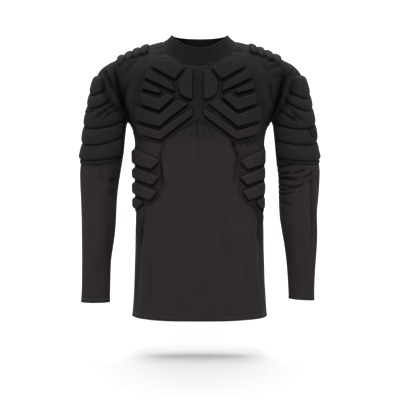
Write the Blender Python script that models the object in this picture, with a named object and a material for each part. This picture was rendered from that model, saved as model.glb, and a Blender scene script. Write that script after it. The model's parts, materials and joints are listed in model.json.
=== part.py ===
"""A padded long-sleeved compression shirt, filled out as on a general figure, with nobody in it.

Millimetres until the meshes are made. +X is the wearer's left, -Y the front, +Z up.
The origin is the middle of the neck, level with the shoulder seams' inner ends, where the
shoulders hold the shirt.
"""

import functools
import math

import bmesh
import bpy
import numpy as np

MM = 0.001

# Cloth and foam thicknesses
CLOTH = 1.6
SEAM_GAP = 0.3
LAYER_GAP = 1.2
BACKING = 1.2
PAD_FOOT = LAYER_GAP + BACKING + 0.9
CHEST_PAD_TOP, RIB_HEIGHT = 11.0, 10.5
ARM_PAD_FOOT = 1.5
PAD_EDGE = 3.0
CHEST_BEVEL = 4.0
# Heights over the cloth: at a rib block's outer rim, and in the grooves between its ribs
BLOCK_RIM = 2.4
RIB_PANEL_GROOVE, ARM_PAD_GROOVE, SHOULDER_PAD_GROOVE = 3.4, 3.2, 3.0
ARM_PAD_HEM = 2.6

# Armhole: its lowest and highest point in the front view, and half its depth
ARMPIT_X, ARMPIT_Z = 178.0, -202.5
SHOULDER_X, SHOULDER_Z = 212.0, -50.0
ARMHOLE_DEPTH, ARMHOLE_ROUNDNESS = 62.0, 2.1

# Neck seam and neckband
NECK_X, NECK_Z = 91.0, -2.5
FRONT_NECK_DROP, BACK_NECK_DROP = 72.5, 12.0
NECK_ROUNDNESS = 2.2
BAND_TOP_X, BAND_TOP_FRONT, BAND_TOP_BACK = 69.5, 72.0, 56.0
BAND_TOP_Z, BAND_TOP_DIP = 14.5, 42.5

HEM_Z, HEM_DIP = -684.0, 4.0

# Body sections. The half width above the armpit follows the armhole, so it isn't in this table.
BODY_COLUMNS = ("height", "front", "back", "roundness")
BODY = (
    (-700, 106, 110, 2.35),
    (-640, 105, 111, 2.35),
    (-570, 103, 107, 2.35),
    (-500, 101, 98, 2.30),
    (-430, 99, 90, 2.30),
    (-360, 101, 89, 2.30),
    (-300, 106, 95, 2.30),
    (-250, 111, 103, 2.25),
    (-202.5, 115, 110, 2.20),
    (-160, 115, 113, 2.20),
    (-130, 111, 112, 2.15),
    (-100, 103, 107, 2.10),
    (-75, 92, 99, 2.05),
    (-50, 77, 87, 2.00),
    (-35, 66, 76, 2.00),
    (-20, 54, 64, 2.00),
    (-10, 45, 54, 2.00),
    (-2.5, 38, 46, 2.00),
)

# Half widths of the body below the armpit, and of the shoulder line above the armhole
WIDTH_COLUMNS = ("height", "half_width")
TRUNK_WIDTH = (
    (-700, 169),
    (-684, 168),
    (-640, 165),
    (-570, 161.5),
    (-500, 159.5),
    (-430, 159),
    (-360, 160),
    (-300, 160.5),
    (-250, 162),
    (-225, 167),
    (ARMPIT_Z, ARMPIT_X),
)
SHOULDER_LINE = (
    (SHOULDER_Z, SHOULDER_X),
    (-44, 200),
    (-31.5, 175),
    (-21, 150),
    (-11, 125),
    (NECK_Z, NECK_X),
)

# Sleeve sections: the outer and inner end of each in the front view, half its depth, and where its
# middle lies in y
SLEEVE_COLUMNS = ("outer_x", "outer_z", "inner_x", "inner_z", "depth", "middle")
SLEEVE_TOP = (
    (SHOULDER_X, SHOULDER_Z, ARMPIT_X, ARMPIT_Z, ARMHOLE_DEPTH, 0),
    (233, -62, 180, -204, 64, 0),
    (252, -82, 181.5, -207, 64, 1),
    (263, -112, 183, -211, 63, 2),
    (272, -155, 184, -217, 61, 3),
    (280, -195, 185, -227, 59, 4),
    (286, -235, 186.5, -243, 57, 4),
    (290, -275, 189, -275, 54, 4),
)
LEFT_SLEEVE = SLEEVE_TOP + (
    (298, -305, 191.5, -305, 52, 3),
    (300, -330, 195, -330, 50, 3),
    (299, -360, 196.5, -360, 49, 2),
    (297, -392, 197.5, -392, 47, 0),
    (293, -437, 199, -437, 45, -4),
    (291, -475, 204.5, -475, 42, -9),
    (289.5, -505, 210, -505, 39, -13),
    (287.5, -550, 215.5, -550, 34, -20),
    (286, -595, 219, -595, 30, -26),
    (285.5, -644, 222, -640, 27, -32),
)
RIGHT_SLEEVE = SLEEVE_TOP + (
    (297, -305, 193, -305, 52, 3),
    (299, -330, 197, -330, 50, 3),
    (298, -360, 201, -360, 49, 2),
    (296.5, -392, 204.5, -392, 47, 0),
    (295, -437, 207.5, -437, 45, -4),
    (294, -475, 211, -475, 42, -9),
    (293, -505, 214.5, -505, 39, -13),
    (292, -550, 220, -550, 34, -20),
    (292, -595, 222.5, -595, 30, -26),
    (293.5, -649, 224.5, -649, 27, -32),
)

# Largest folds: a line on the cloth in the front view, its half width and its depth (less than 0 is a ridge)
FOLD_COLUMNS = ("from_x", "from_z", "to_x", "to_z", "reach", "depth")
FRONT_FOLDS = (
    (-146, -440, -152, -660, 13, 3.0),
    (-128, -470, -132, -640, 12, -2.0),
    (143, -450, 150, -610, 13, 3.0),
    (120, -430, 134, -560, 12, -2.2),
    (86, -268, 100, -330, 12, 3.2),
    (2, -212, -6, -262, 13, 2.6),
)
BACK_FOLDS = (
    (-138, -300, -120, -520, 14, 3.2),
    (130, -320, 142, -560, 14, 3.0),
    (-40, -420, -60, -640, 15, -2.2),
    (52, -470, 38, -600, 15, 2.4),
)
LEFT_SLEEVE_FOLDS = (
    (190, -344, 252, -352, 11, 4.0),
    (196, -372, 246, -362, 10, 3.4),
    (262, -338, 292, -318, 10, -2.4),
    (232, -110, 216, -140, 10, 3.0),
)
RIGHT_SLEEVE_FOLDS = (
    (196, -360, 250, -350, 12, 2.6),
    (214, -420, 240, -520, 12, -1.8),
    (232, -108, 214, -140, 10, 3.0),
)

# Where the pads lie: distance round the body from the chest module's middle, and height
CHEST_MIDDLE = -3.4
CHEST_BACKING = (
    (0, -78), (19, -79), (34, -72), (58, -55), (73, -50.5), (92, -51), (111, -62), (121, -72.5), (133, -87.5),
    (146, -109), (157, -133), (168, -165), (178, -197), (181, -220), (168, -243), (92, -263), (72, -252),
    (47.5, -234), (19, -219), (0, -204),
)
CHEST_PADS = {
    "inner": ((13.4, -89), (27, -91), (47, -117.5), (47.5, -127), (42.5, -148), (24, -158.5), (13.4, -159)),
    "collar": ((111.5, -80.7), (102, -70), (88, -64), (71, -62), (60.5, -64.6), (32, -84.7), (55, -113)),
    "upper": ((120, -86), (113.5, -88.6), (63, -119), (57, -131.5), (55.5, -142), (129, -106)),
    "outer": ((131, -113.7), (89, -134.5), (88, -141.3), (93.5, -145), (137, -131)),
    "middle": ((138.5, -140), (93, -155.5), (72, -144.5), (55.5, -153), (91.5, -184), (139, -166)),
    "lower": ((152, -169.5), (93, -192.5), (51, -160.7), (41.5, -160), (23, -169.6), (93, -222), (156, -202)),
    "bottom": ((156, -211), (92, -231.5), (13, -178.5), (13, -197), (89.5, -253), (144, -239), (155, -229.5)),
}
# Rib panels, a row for each edge or groove from the top down: its height at its front end, at RIB_BEND
# and at the side, and how far round the body its front end lies
RIB_COLUMNS = ("front_end", "bend", "side", "start")
RIB_PANEL = (
    (-290, -273, -264, 97),
    (-335, -315, -312, 96),
    (-374, -351, -348, 99),
    (-405, -389, -387, 122),
    (-412, -424, -424, 146),
)
RIB_BEND, RIB_SIDE, RIB_END = 168.0, 212.0, 249.0

# Arm pads, a row for each edge or groove from the top down: its height at the outer side, halfway and at the
# inner end, and the angle round the sleeve of that end
ARM_COLUMNS = ("outer", "halfway", "inner", "inner_angle")
LEFT_ARM_PAD = (
    (-86, -91, -96, 56),
    (-128, -149, -138, 90),
    (-162, -180, -159, 106),
    (-203, -225, -206, 146),
    (-248, -263, -247, 152),
    (-293, -302, -288, 158),
    (-303, -310, -298, 158),
)
RIGHT_ARM_PAD = (
    (-88, -91, -97, 54),
    (-127, -141, -133, 78),
    (-158, -175, -157, 100),
    (-209, -223, -197, 148),
    (-253, -263, -237, 152),
    (-293, -300, -284, 158),
    (-304, -311, -295, 158),
)
ARM_PAD_BACK_ANGLE = -50
ARM_RIB_HEIGHT = 9.5

# Shoulder pads: x of each rib's edges along the shoulder seam, how far the ribs reach to the front and
# the back, and how much shorter the outermost rib's ends are
LEFT_SHOULDER_RIBS = (122, 142, 162, 182, 203)
RIGHT_SHOULDER_RIBS = (126, 147, 167, 187, 205)
SHOULDER_PAD_REACH, SHOULDER_PAD_SLANT = 42.0, 5.0
SHOULDER_RIB_HEIGHT = 7.5

# The neckband stands this much hollow between its two edges
BAND_HOLLOW = 2.0

PANEL_COLUMNS, PANEL_LOWER_ROWS, PANEL_UPPER_ROWS = 24, 12, 12
SLEEVE_AROUND, BAND_AROUND = 20, PANEL_COLUMNS
CHEST_GRID = (16.0, 16.0)


# Reading the tables
@functools.lru_cache(maxsize=None)
def curve(table, column):
    """Places, values and slopes of a smooth curve through one column, which never overshoots a row."""
    rows = np.array(table, float)
    place, value = rows[:, 0], rows[:, column]
    step = np.diff(place)
    slope = np.diff(value) / step
    tangent = np.concatenate([slope[:1], np.zeros(len(step) - 1), slope[-1:]])
    for k in range(1, len(step)):
        if slope[k - 1] * slope[k] > 0:
            before, after = 2 * step[k] + step[k - 1], step[k] + 2 * step[k - 1]
            tangent[k] = (before + after) / (before / slope[k - 1] + after / slope[k])
    return place, value, tangent, step


def read(table, columns, name, at):
    """The named column at any value of the table's first column."""
    place, value, tangent, step = curve(table, columns.index(name))
    at = np.clip(np.asarray(at, float), place[0], place[-1])
    k = np.clip(np.searchsorted(place, at) - 1, 0, len(step) - 1)
    t = (at - place[k]) / step[k]
    return (
        (1 + 2 * t) * (1 - t) ** 2 * value[k]
        + t * (1 - t) ** 2 * step[k] * tangent[k]
        + t**2 * (3 - 2 * t) * value[k + 1]
        + t**2 * (t - 1) * step[k] * tangent[k + 1]
    )


def power(value, exponent):
    return np.sign(value) * np.abs(value) ** exponent


def smoothstep(low, high, value):
    t = np.clip((np.asarray(value, float) - low) / (high - low), 0, 1)
    return t * t * (3 - 2 * t)


# The body's surface
def armhole_line(z):
    """x of the armhole seam in the front view at height z."""
    return ARMPIT_X + (z - ARMPIT_Z) * (SHOULDER_X - ARMPIT_X) / (SHOULDER_Z - ARMPIT_Z)


def half_width(z):
    """Half the body's width. Beside the armhole it is what the surface needs to pass through the seam."""
    z = np.asarray(z, float)
    trunk = read(TRUNK_WIDTH, WIDTH_COLUMNS, "half_width", z)
    shoulder = read(SHOULDER_LINE, WIDTH_COLUMNS, "half_width", z)
    n = read(BODY, BODY_COLUMNS, "roundness", z)
    depth = read(BODY, BODY_COLUMNS, "front", z)
    along = np.clip((z - (ARMPIT_Z + SHOULDER_Z) / 2) / ((SHOULDER_Z - ARMPIT_Z) / 2), -1, 1)
    open_depth = ARMHOLE_DEPTH * (1 - np.abs(along) ** ARMHOLE_ROUNDNESS) ** (1 / ARMHOLE_ROUNDNESS)
    beside = armhole_line(z) * (1 - (open_depth / depth) ** n) ** (-1 / n)
    return np.where(z < ARMPIT_Z, trunk, np.where(z > SHOULDER_Z, shoulder, beside))


def body_point(side, theta, z):
    """A point of the body at angle theta from its middle line. side is -1 on the front and 1 on the back."""
    theta, z = np.broadcast_arrays(np.asarray(theta, float), np.asarray(z, float))
    n = read(BODY, BODY_COLUMNS, "roundness", z)
    depth = read(BODY, BODY_COLUMNS, "front" if side < 0 else "back", z)
    if side > 0:
        depth = back_depth(theta, z, depth)
    x = half_width(z) * power(np.sin(theta), 2 / n)
    y = side * depth * power(np.cos(theta), 2 / n)
    return np.stack([x, y, z], -1)


def back_depth(theta, z, depth):
    """The back's depth, eased to the front's towards the armhole, so that one sleeve fits both."""
    front = read(BODY, BODY_COLUMNS, "front", z)
    beside = smoothstep(0.3, 0.84, np.abs(np.sin(theta))) * smoothstep(ARMPIT_Z - 60, ARMPIT_Z, z)
    return depth + (front - depth) * beside


def theta_at(x, z):
    """The angle at which the body is x from its middle at height z."""
    n = read(BODY, BODY_COLUMNS, "roundness", z)
    share = np.clip(np.asarray(x, float) / half_width(z), -1, 1)
    return np.arcsin(power(share, n / 2))


def ridge(x):
    """Height of the shoulder seam, x from the middle."""
    z = np.linspace(SHOULDER_Z, NECK_Z, 200)
    return np.interp(-np.abs(x), -half_width(z), z)


# Grids of points
def unit(vectors):
    return vectors / np.maximum(np.linalg.norm(vectors, axis=-1, keepdims=True), 1e-12)


def grid_normals(points, closed=False):
    """Outward normals of a grid whose rows run up and whose columns run to the wearer's left on the front."""
    rows = np.gradient(points, axis=0)
    if closed:
        columns = np.roll(points, -1, 1) - np.roll(points, 1, 1)
    else:
        columns = np.gradient(points, axis=1)
    return unit(np.cross(columns, rows))


def evenly(path, count):
    """count + 1 points at equal distances along a path of many points."""
    run = np.concatenate([[0], np.cumsum(np.linalg.norm(np.diff(path, axis=0), axis=1))])
    at = np.linspace(0, run[-1], count + 1)
    return np.stack([np.interp(at, run, path[:, k]) for k in range(3)], -1)


def neckline(side, share):
    """(x, z) on the neck seam, share 0 at the middle and 1 where the shoulder seam starts."""
    drop = FRONT_NECK_DROP if side < 0 else BACK_NECK_DROP
    angle = share * math.pi / 2
    x = NECK_X * power(np.sin(angle), 2 / NECK_ROUNDNESS)
    return x, NECK_Z - drop * power(np.cos(angle), 2 / NECK_ROUNDNESS)


def panel_grid(side, columns, lower_rows, upper_rows):
    """The front or back panel's outer points, from the hem up. Its top row's middle half is the neckline."""
    across = np.linspace(-1, 1, columns + 1)
    theta = across * math.pi / 2
    hem = HEM_Z - HEM_DIP * np.cos(theta)
    grid = np.empty((lower_rows + upper_rows + 1, columns + 1, 3))
    for row in range(lower_rows + 1):
        z = ARMPIT_Z - (ARMPIT_Z - hem) * (1 - row / lower_rows) ** 1.5
        grid[row] = body_point(side, theta, z)
    closing = (1 - np.cos(np.linspace(0, math.pi, 400))) / 2
    armpit_roundness = read(BODY, BODY_COLUMNS, "roundness", ARMPIT_Z)
    for k, u in enumerate(across):
        start_x = half_width(ARMPIT_Z) * power(np.sin(theta[k]), 2 / armpit_roundness)
        if abs(u) <= 0.5:
            end_x, end_z = neckline(side, abs(u) / 0.5)
            end_x *= np.sign(u)
        else:
            end_x = np.sign(u) * (NECK_X + (SHOULDER_X - NECK_X) * (abs(u) - 0.5) / 0.5)
            end_z = ridge(end_x)
        x = start_x + (end_x - start_x) * closing
        z = ARMPIT_Z + (end_z - ARMPIT_Z) * closing
        path = body_point(side, theta_at(x, z), z)
        grid[lower_rows:, k] = evenly(path, upper_rows)
    return grid


def sleeve_reader(table):
    """The function that turns a distance down the sleeve and an angle into a point, and the sleeve's length.

    Angle 0 is the outer side and a quarter turn the front.
    """
    rows = np.array(table, float)
    centre = (rows[:, 0:2] + rows[:, 2:4]) / 2
    run = np.concatenate([[0], np.cumsum(np.linalg.norm(np.diff(centre, axis=0), axis=1))])
    keyed = tuple(map(tuple, np.column_stack([run, rows])))
    columns = ("run",) + SLEEVE_COLUMNS

    def point(down, angle):
        down, angle = np.broadcast_arrays(np.asarray(down, float), np.asarray(angle, float))
        value = {name: read(keyed, columns, name, down) for name in SLEEVE_COLUMNS}
        n = 2 + (ARMHOLE_ROUNDNESS - 2) * np.exp(-down / 60)
        cosine = power(np.cos(angle), 2 / n)
        outer, inner = (1 + cosine) / 2, (1 - cosine) / 2
        x = value["outer_x"] * outer + value["inner_x"] * inner
        z = value["outer_z"] * outer + value["inner_z"] * inner
        y = value["middle"] - value["depth"] * power(np.sin(angle), 2 / n)
        return np.stack([x, y, z], -1)

    return point, run[-1]


# Making solids
def material(name, colour, roughness):
    made = bpy.data.materials.new(name)
    made.use_nodes = True
    shader = made.node_tree.nodes["Principled BSDF"]
    shader.inputs["Base Color"].default_value = (*colour, 1)
    shader.inputs["Roughness"].default_value = roughness
    made.diffuse_color = (*colour, 1)
    return made


def face_outwards(bm):
    bmesh.ops.recalc_face_normals(bm, faces=bm.faces[:])
    if bm.calc_volume(signed=True) < 0:
        bmesh.ops.reverse_faces(bm, faces=bm.faces[:])


def add_mesh(name, points, faces, finish, collection):
    mesh = bpy.data.meshes.new(name)
    mesh.from_pydata((np.asarray(points) * MM).tolist(), [], [tuple(int(i) for i in face) for face in faces])
    bm = bmesh.new()
    bm.from_mesh(mesh)
    face_outwards(bm)
    bm.to_mesh(mesh)
    bm.free()
    mesh.materials.append(finish)
    made = bpy.data.objects.new(name, mesh)
    collection.objects.link(made)
    return made


def wall(name, outside, inside, finish, collection, closed=False):
    """A closed wall between two grids of points. Rows run up, columns to the wearer's left on the front."""
    rows, columns = outside.shape[:2]
    back = rows * columns
    points = np.concatenate([outside.reshape(-1, 3), inside.reshape(-1, 3)])
    faces = []
    last = columns if closed else columns - 1
    for r in range(rows - 1):
        for c in range(last):
            a, b = r * columns + c, r * columns + (c + 1) % columns
            faces.append((a, b, b + columns, a + columns))
            faces.append((back + a, back + a + columns, back + b + columns, back + b))
    for c in range(last):
        a, b = c, (c + 1) % columns
        top = (rows - 1) * columns
        faces.append((a, back + a, back + b, b))
        faces.append((top + a, top + b, back + top + b, back + top + a))
    if not closed:
        for r in range(rows - 1):
            a, b = r * columns, (r + 1) * columns
            end = columns - 1
            faces.append((a, b, back + b, back + a))
            faces.append((a + end, back + a + end, back + b + end, b + end))
    return add_mesh(name, points, faces, finish, collection)


def keep_off(inward, across):
    """Directions without what points along across, so that a wall stays on its own side of a seam."""
    along = np.maximum((inward * across).sum(-1, keepdims=True), 0)
    return unit(inward - along * across)


def folded(points, normals, folds):
    """Points moved in along their normals where a fold runs. Each fold fades out at its ends."""
    depth = np.zeros(points.shape[:-1])
    for x0, z0, x1, z1, reach, deep in folds:
        length = math.hypot(x1 - x0, z1 - z0)
        dx, dz = (x1 - x0) / length, (z1 - z0) / length
        along = (points[..., 0] - x0) * dx + (points[..., 2] - z0) * dz
        off = (points[..., 0] - x0) * dz - (points[..., 2] - z0) * dx
        starts = smoothstep(-0.15 * length, 0.25 * length, along)
        stops = smoothstep(1.15 * length, 0.75 * length, along)
        depth += deep * np.exp(-((off / reach) ** 2)) * starts * stops
    return points - normals * depth[..., None]


# Cloth
def band_top(angle):
    """The neckband's top edge. Angle 0 is the front's middle and a quarter turn the wearer's left."""
    forward = np.cos(angle)
    y = -(BAND_TOP_FRONT + BAND_TOP_BACK) / 2 * forward - (BAND_TOP_FRONT - BAND_TOP_BACK) / 2
    z = BAND_TOP_Z - BAND_TOP_DIP * np.maximum(forward, 0) ** 1.6
    return np.stack([BAND_TOP_X * np.sin(angle), y, z], -1)


def neck_seam(angle):
    """Points of the seam between the neckband and the panels."""
    out = []
    for turn in angle:
        front = abs(turn) <= math.pi / 2
        x, z = neckline(-1 if front else 1, (abs(turn) if front else math.pi - abs(turn)) / (math.pi / 2))
        x = float(x) * np.sign(turn)
        out.append(body_point(-1 if front else 1, theta_at(x, z), z))
    return np.array(out)


def make_panel(name, side, folds, finish, collection):
    outside = panel_grid(side, PANEL_COLUMNS, PANEL_LOWER_ROWS, PANEL_UPPER_ROWS)
    outside = folded(outside, grid_normals(outside) * -side, folds)
    normals = grid_normals(outside) * -side
    inward = -normals
    lower = PANEL_LOWER_ROWS
    # Each edge stays on its own side of its seam
    sideways = np.array([0.0, -side, 0.0])
    quarter = PANEL_COLUMNS // 4
    for column, turn in ((0, -1), (-1, 1)):
        armhole = unit(np.array([turn * (SHOULDER_Z - ARMPIT_Z), 0.0, ARMPIT_X - SHOULDER_X]))
        for rows, across in ((slice(0, lower + 1), sideways), (slice(lower, None), armhole)):
            inward[rows, column] = keep_off(inward[rows, column], across)
            outside[rows, column] -= across * SEAM_GAP
    for columns in (slice(0, quarter + 1), slice(-quarter - 1, None)):
        inward[-1, columns] = keep_off(inward[-1, columns], sideways)
        outside[-1, columns] -= sideways * SEAM_GAP
    share = np.linspace(-1, 1, 2 * quarter + 1) * math.pi / 2
    turn = share if side < 0 else np.sign(share + 1e-9) * math.pi - share
    across = unit(band_top(turn) - neck_seam(turn))
    neck = slice(quarter, -quarter)
    inward[-1, neck] = keep_off(inward[-1, neck], across)
    outside[-1, neck] -= across * SEAM_GAP
    return wall(name, outside, outside + inward * CLOTH, finish, collection)


def make_sleeve(name, table, turn, folds, finish, collection):
    point, length = sleeve_reader(table)
    down = np.concatenate([np.linspace(0, 150, 8), np.linspace(150, length, 16)[1:]])[::-1]
    angle = -np.linspace(0, 2 * math.pi, SLEEVE_AROUND, endpoint=False)
    outside = point(down[:, None], angle[None, :])
    normals = grid_normals(outside, closed=True)
    outside = folded(outside, np.where(outside[..., 1:2] < 5, normals, 0), folds)
    inward = -grid_normals(outside, closed=True)
    across = unit(np.array([-(SHOULDER_Z - ARMPIT_Z), 0.0, SHOULDER_X - ARMPIT_X]))
    inward[-1] = keep_off(inward[-1], across)
    outside[-1] -= across * SEAM_GAP
    inside = outside + inward * CLOTH
    mirror = np.array([turn, 1, 1])
    return wall(name, outside * mirror, inside * mirror, finish, collection, closed=True)


def make_neckband(name, finish, collection):
    angle = np.linspace(-math.pi, math.pi, BAND_AROUND, endpoint=False)
    low, high = neck_seam(angle), band_top(angle)
    across = unit(high - low)
    share = np.array([0, 0.34, 0.68, 1])[:, None, None]
    outside = low + (high - low) * share
    normals = grid_normals(outside, closed=True)
    outside -= normals * BAND_HOLLOW * (4 * share * (1 - share))
    inward = -grid_normals(outside, closed=True)
    inward[0] = keep_off(inward[0], -across)
    outside[0] += across * SEAM_GAP
    return wall(name, outside, outside + inward * CLOTH, finish, collection, closed=True)


# Coordinates on the body's cloth: distance round from the front's middle, and height
ARC_HEIGHTS = np.linspace(-700, -6, 200)
ARC_ANGLES = np.linspace(0, math.pi, 241)


def loop_point(turn, z):
    """A point of the body. turn is 0 at the front's middle, a quarter turn at the left side seam."""
    turn, z = np.broadcast_arrays(np.asarray(turn, float), np.asarray(z, float))
    front = body_point(-1, np.clip(turn, -math.pi / 2, math.pi / 2), z)
    behind = body_point(1, np.clip(np.sign(turn) * math.pi - turn, -math.pi / 2, math.pi / 2), z)
    return np.where((np.abs(turn) > math.pi / 2)[..., None], behind, front)


@functools.lru_cache(maxsize=None)
def arc_table():
    points = loop_point(ARC_ANGLES[None, :], ARC_HEIGHTS[:, None])
    run = np.linalg.norm(np.diff(points, axis=1), axis=-1)
    return np.concatenate([np.zeros((len(ARC_HEIGHTS), 1)), np.cumsum(run, axis=1)], axis=1)


def turn_at(distance, z):
    """The turn that lies the given distance round the body at height z."""
    table = arc_table()
    step = ARC_HEIGHTS[1] - ARC_HEIGHTS[0]
    row = np.clip((np.asarray(z) - ARC_HEIGHTS[0]) / step, 0, len(ARC_HEIGHTS) - 1.001)
    out = np.empty(len(distance))
    for k, (far, r) in enumerate(zip(distance, row)):
        low, part = int(r), r - int(r)
        run = table[low] * (1 - part) + table[low + 1] * part
        out[k] = np.sign(far) * np.interp(abs(far), run, ARC_ANGLES)
    return out


def on_body(distance, z, height):
    """Points of the body's cloth moved out by a height."""
    turn = turn_at(distance, z)
    round_body = loop_point(turn + 0.004, z) - loop_point(turn - 0.004, z)
    upward = loop_point(turn, z + 0.5) - loop_point(turn, z - 0.5)
    return loop_point(turn, z) + unit(np.cross(round_body, upward)) * np.asarray(height)[:, None]


def make_pad(name, outline, foot, top, edge, grid, finish, collection):
    """A pad from its outline: a flat block with bevelled edges, cut into a grid and laid on the cloth."""
    bm = bmesh.new()
    corners = [bm.verts.new((far, up, foot)) for far, up in outline]
    face = bm.faces.new(corners)
    if edge > 0:
        bmesh.ops.bevel(
            bm, geom=corners, offset=CHEST_BEVEL, segments=1, affect="VERTICES", clamp_overlap=True
        )
        face = bm.faces[:][0]
    face.normal_update()
    if face.normal.z < 0:
        face.normal_flip()
    foot_edges = list(face.edges)
    # The block: its walls, then its bevelled edge, then its flat top
    raised = bmesh.ops.extrude_face_region(bm, geom=[face])
    top_face = [g for g in raised["geom"] if isinstance(g, bmesh.types.BMFace)][0]
    for vert in top_face.verts:
        vert.co.z = top - edge * 0.7
    if edge > 0:
        bmesh.ops.inset_region(bm, faces=[top_face], thickness=edge, use_even_offset=True)
        for vert in top_face.verts:
            vert.co.z = top
    if not any(set(foot_edges) <= set(f.edges) for f in bm.faces if f is not top_face):
        bmesh.ops.contextual_create(bm, geom=foot_edges)
    # Triangles while it is cut, so that a hollow outline is cut truly
    helper = bm.edges.layers.int.new("helper")
    made = bmesh.ops.triangulate(bm, faces=[f for f in bm.faces if len(f.verts) > 4])
    for line in made["edges"]:
        line[helper] = 1
    for axis in range(2):
        values = [v.co[axis] for v in bm.verts]
        count = int((max(values) - min(values)) / grid[axis])
        for k in range(1, count + 1):
            at = min(values) + (max(values) - min(values)) * k / (count + 1)
            point, normal = [0.0] * 3, [0.0] * 3
            point[axis], normal[axis] = at, 1.0
            geometry = bm.verts[:] + bm.edges[:] + bm.faces[:]
            bmesh.ops.bisect_plane(bm, geom=geometry, dist=0.01, plane_co=point, plane_no=normal)
    # The triangles' own edges go again before the cut faces are split
    bmesh.ops.dissolve_edges(bm, edges=[e for e in bm.edges if e[helper] == 1], use_verts=True)
    bmesh.ops.triangulate(bm, faces=bm.faces[:])
    flat = np.array([v.co[:] for v in bm.verts])
    for vert, place in zip(bm.verts, on_body(flat[:, 0], flat[:, 1], flat[:, 2])):
        vert.co = place * MM
    face_outwards(bm)
    mesh = bpy.data.meshes.new(name)
    bm.to_mesh(mesh)
    bm.free()
    mesh.materials.append(finish)
    made = bpy.data.objects.new(name, mesh)
    collection.objects.link(made)
    return made


def mirrored(outline, turn, middle):
    return [(middle + turn * far, up) for far, up in outline]


def whole(half, middle):
    """A closed outline from the half of it that starts and ends on the middle line."""
    other = [(-far, up) for far, up in reversed(half) if far != 0]
    return [(middle + far, up) for far, up in list(half) + other]


# Arm and shoulder pads
def rib_profile(grooves, low, high):
    """(place along the grooves, height) pairs of a row of ribs: low in each groove, high on each rib."""
    rows = []
    for k in range(grooves - 1):
        rows += [(k, low), (k + 0.14, high * 0.8), (k + 0.5, high), (k + 0.86, high * 0.8)]
    return rows + [(grooves - 1, low)]


def make_rib_panel(name, turn, finish, collection):
    rows = rib_profile(len(RIB_PANEL), RIB_PANEL_GROOVE, RIB_HEIGHT)
    keyed = tuple((k,) + row for k, row in enumerate(RIB_PANEL))
    names = ("row",) + RIB_COLUMNS
    share = np.array([0, 0.035, 0.17, 0.31, 0.46, 0.61, 0.76, 0.9, 0.97, 1])
    outside = np.empty((len(rows), len(share), 3))
    inside = np.empty_like(outside)
    for r, (place, raised) in enumerate(rows):
        front_end, bend, side, start = (read(keyed, names, column, place) for column in RIB_COLUMNS)
        far = start + (RIB_END - start) * share
        line = ((start, front_end), (RIB_BEND, bend), (RIB_SIDE, side), (RIB_END + 1, side))
        up = read(tuple((float(x), float(z)) for x, z in line), ("far", "up"), "up", far)
        height = np.full(len(share), raised)
        height[[0, -1]] = RIB_PANEL_GROOVE
        outside[r] = on_body(far * turn, up, height)
        inside[r] = on_body(far * turn, up, np.full(len(share), LAYER_GAP))
    return wall(name, outside, inside, finish, collection)


def make_arm_pad(name, table, sleeve, turn, finish, collection):
    point, length = sleeve_reader(sleeve)
    rows = rib_profile(len(table) - 1, ARM_PAD_GROOVE, ARM_RIB_HEIGHT) + [(len(table) - 1, ARM_PAD_HEM)]
    keyed = tuple((k,) + row for k, row in enumerate(table))
    names = ("groove",) + ARM_COLUMNS
    down = np.linspace(0, length * 0.75, 300)
    share = np.linspace(0, 1, 12)
    angle = np.empty((len(rows), len(share)))
    height = np.empty_like(angle)
    target = np.empty_like(angle)
    for r, (groove, raised) in enumerate(rows):
        outer, halfway, inner, last = (read(keyed, names, column, groove) for column in ARM_COLUMNS)
        angle[r] = np.radians(ARM_PAD_BACK_ANGLE + (last - ARM_PAD_BACK_ANGLE) * share)
        part = np.clip(angle[r] / math.radians(last), 0, 1)
        at_outer, at_inner = (1 - part) * (1 - 2 * part), part * (2 * part - 1)
        target[r] = outer * at_outer + halfway * 4 * part * (1 - part) + inner * at_inner
        ends = np.minimum(1, np.minimum(share, 1 - share) * 11)
        height[r] = BLOCK_RIM + (raised - BLOCK_RIM) * ends
    place = np.empty_like(angle)
    for r in range(len(rows)):
        for c in range(len(share)):
            z = point(down, np.full_like(down, angle[r, c]))[:, 2]
            place[r, c] = np.interp(-target[r, c], -z, down)
    skin = point(place, angle)
    forward = point(place, angle + 0.01) - point(place, angle - 0.01)
    normal = unit(np.cross(forward, point(place + 1, angle) - point(place - 1, angle)))
    mirror = np.array([turn, 1, 1])
    outside = (skin + normal * height[..., None]) * mirror
    inside = (skin + normal * ARM_PAD_FOOT) * mirror
    return wall(name, outside[::-1], inside[::-1], finish, collection)


def make_shoulder_pad(name, edges, turn, finish, collection):
    rows = rib_profile(len(edges), SHOULDER_PAD_GROOVE, SHOULDER_RIB_HEIGHT)
    across = np.linspace(-1, 1, 7)
    outside = np.empty((len(rows), len(across), 3))
    inside = np.empty_like(outside)
    edges = np.array(edges, float)
    for r, (groove, raised) in enumerate(rows):
        ridge_x = np.interp(groove, np.arange(len(edges)), edges)
        for c, v in enumerate(across):
            side = -1 if v < 0 else 1
            out = abs(v) * SHOULDER_PAD_REACH
            x = ridge_x - SHOULDER_PAD_SLANT * v**2 * (ridge_x - edges[0]) / (edges[-1] - edges[0])
            z = np.linspace(float(ridge(x)), float(ridge(x)) - 60, 240)
            y = np.abs(body_point(side, theta_at(x, z), z)[:, 1])
            spot = np.array([x, side * out, np.interp(out, y, z)])
            slope = 0.0 if v == 0 else np.interp(out + 0.5, y, z) - np.interp(out - 0.5, y, z)
            along = float(ridge(x + 1) - ridge(x - 1)) / 2
            normal = unit(np.array([-along, -side * slope, 1.0]))
            edge = min(1.0, (1 - abs(v)) * 3)
            outside[r, c] = spot + normal * (BLOCK_RIM + (raised - BLOCK_RIM) * edge)
            inside[r, c] = spot + normal * LAYER_GAP
    mirror = np.array([turn, 1, 1])
    return wall(name, outside * mirror, inside * mirror, finish, collection)


# Build
for item in list(bpy.data.objects):
    bpy.data.objects.remove(item, do_unlink=True)

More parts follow.
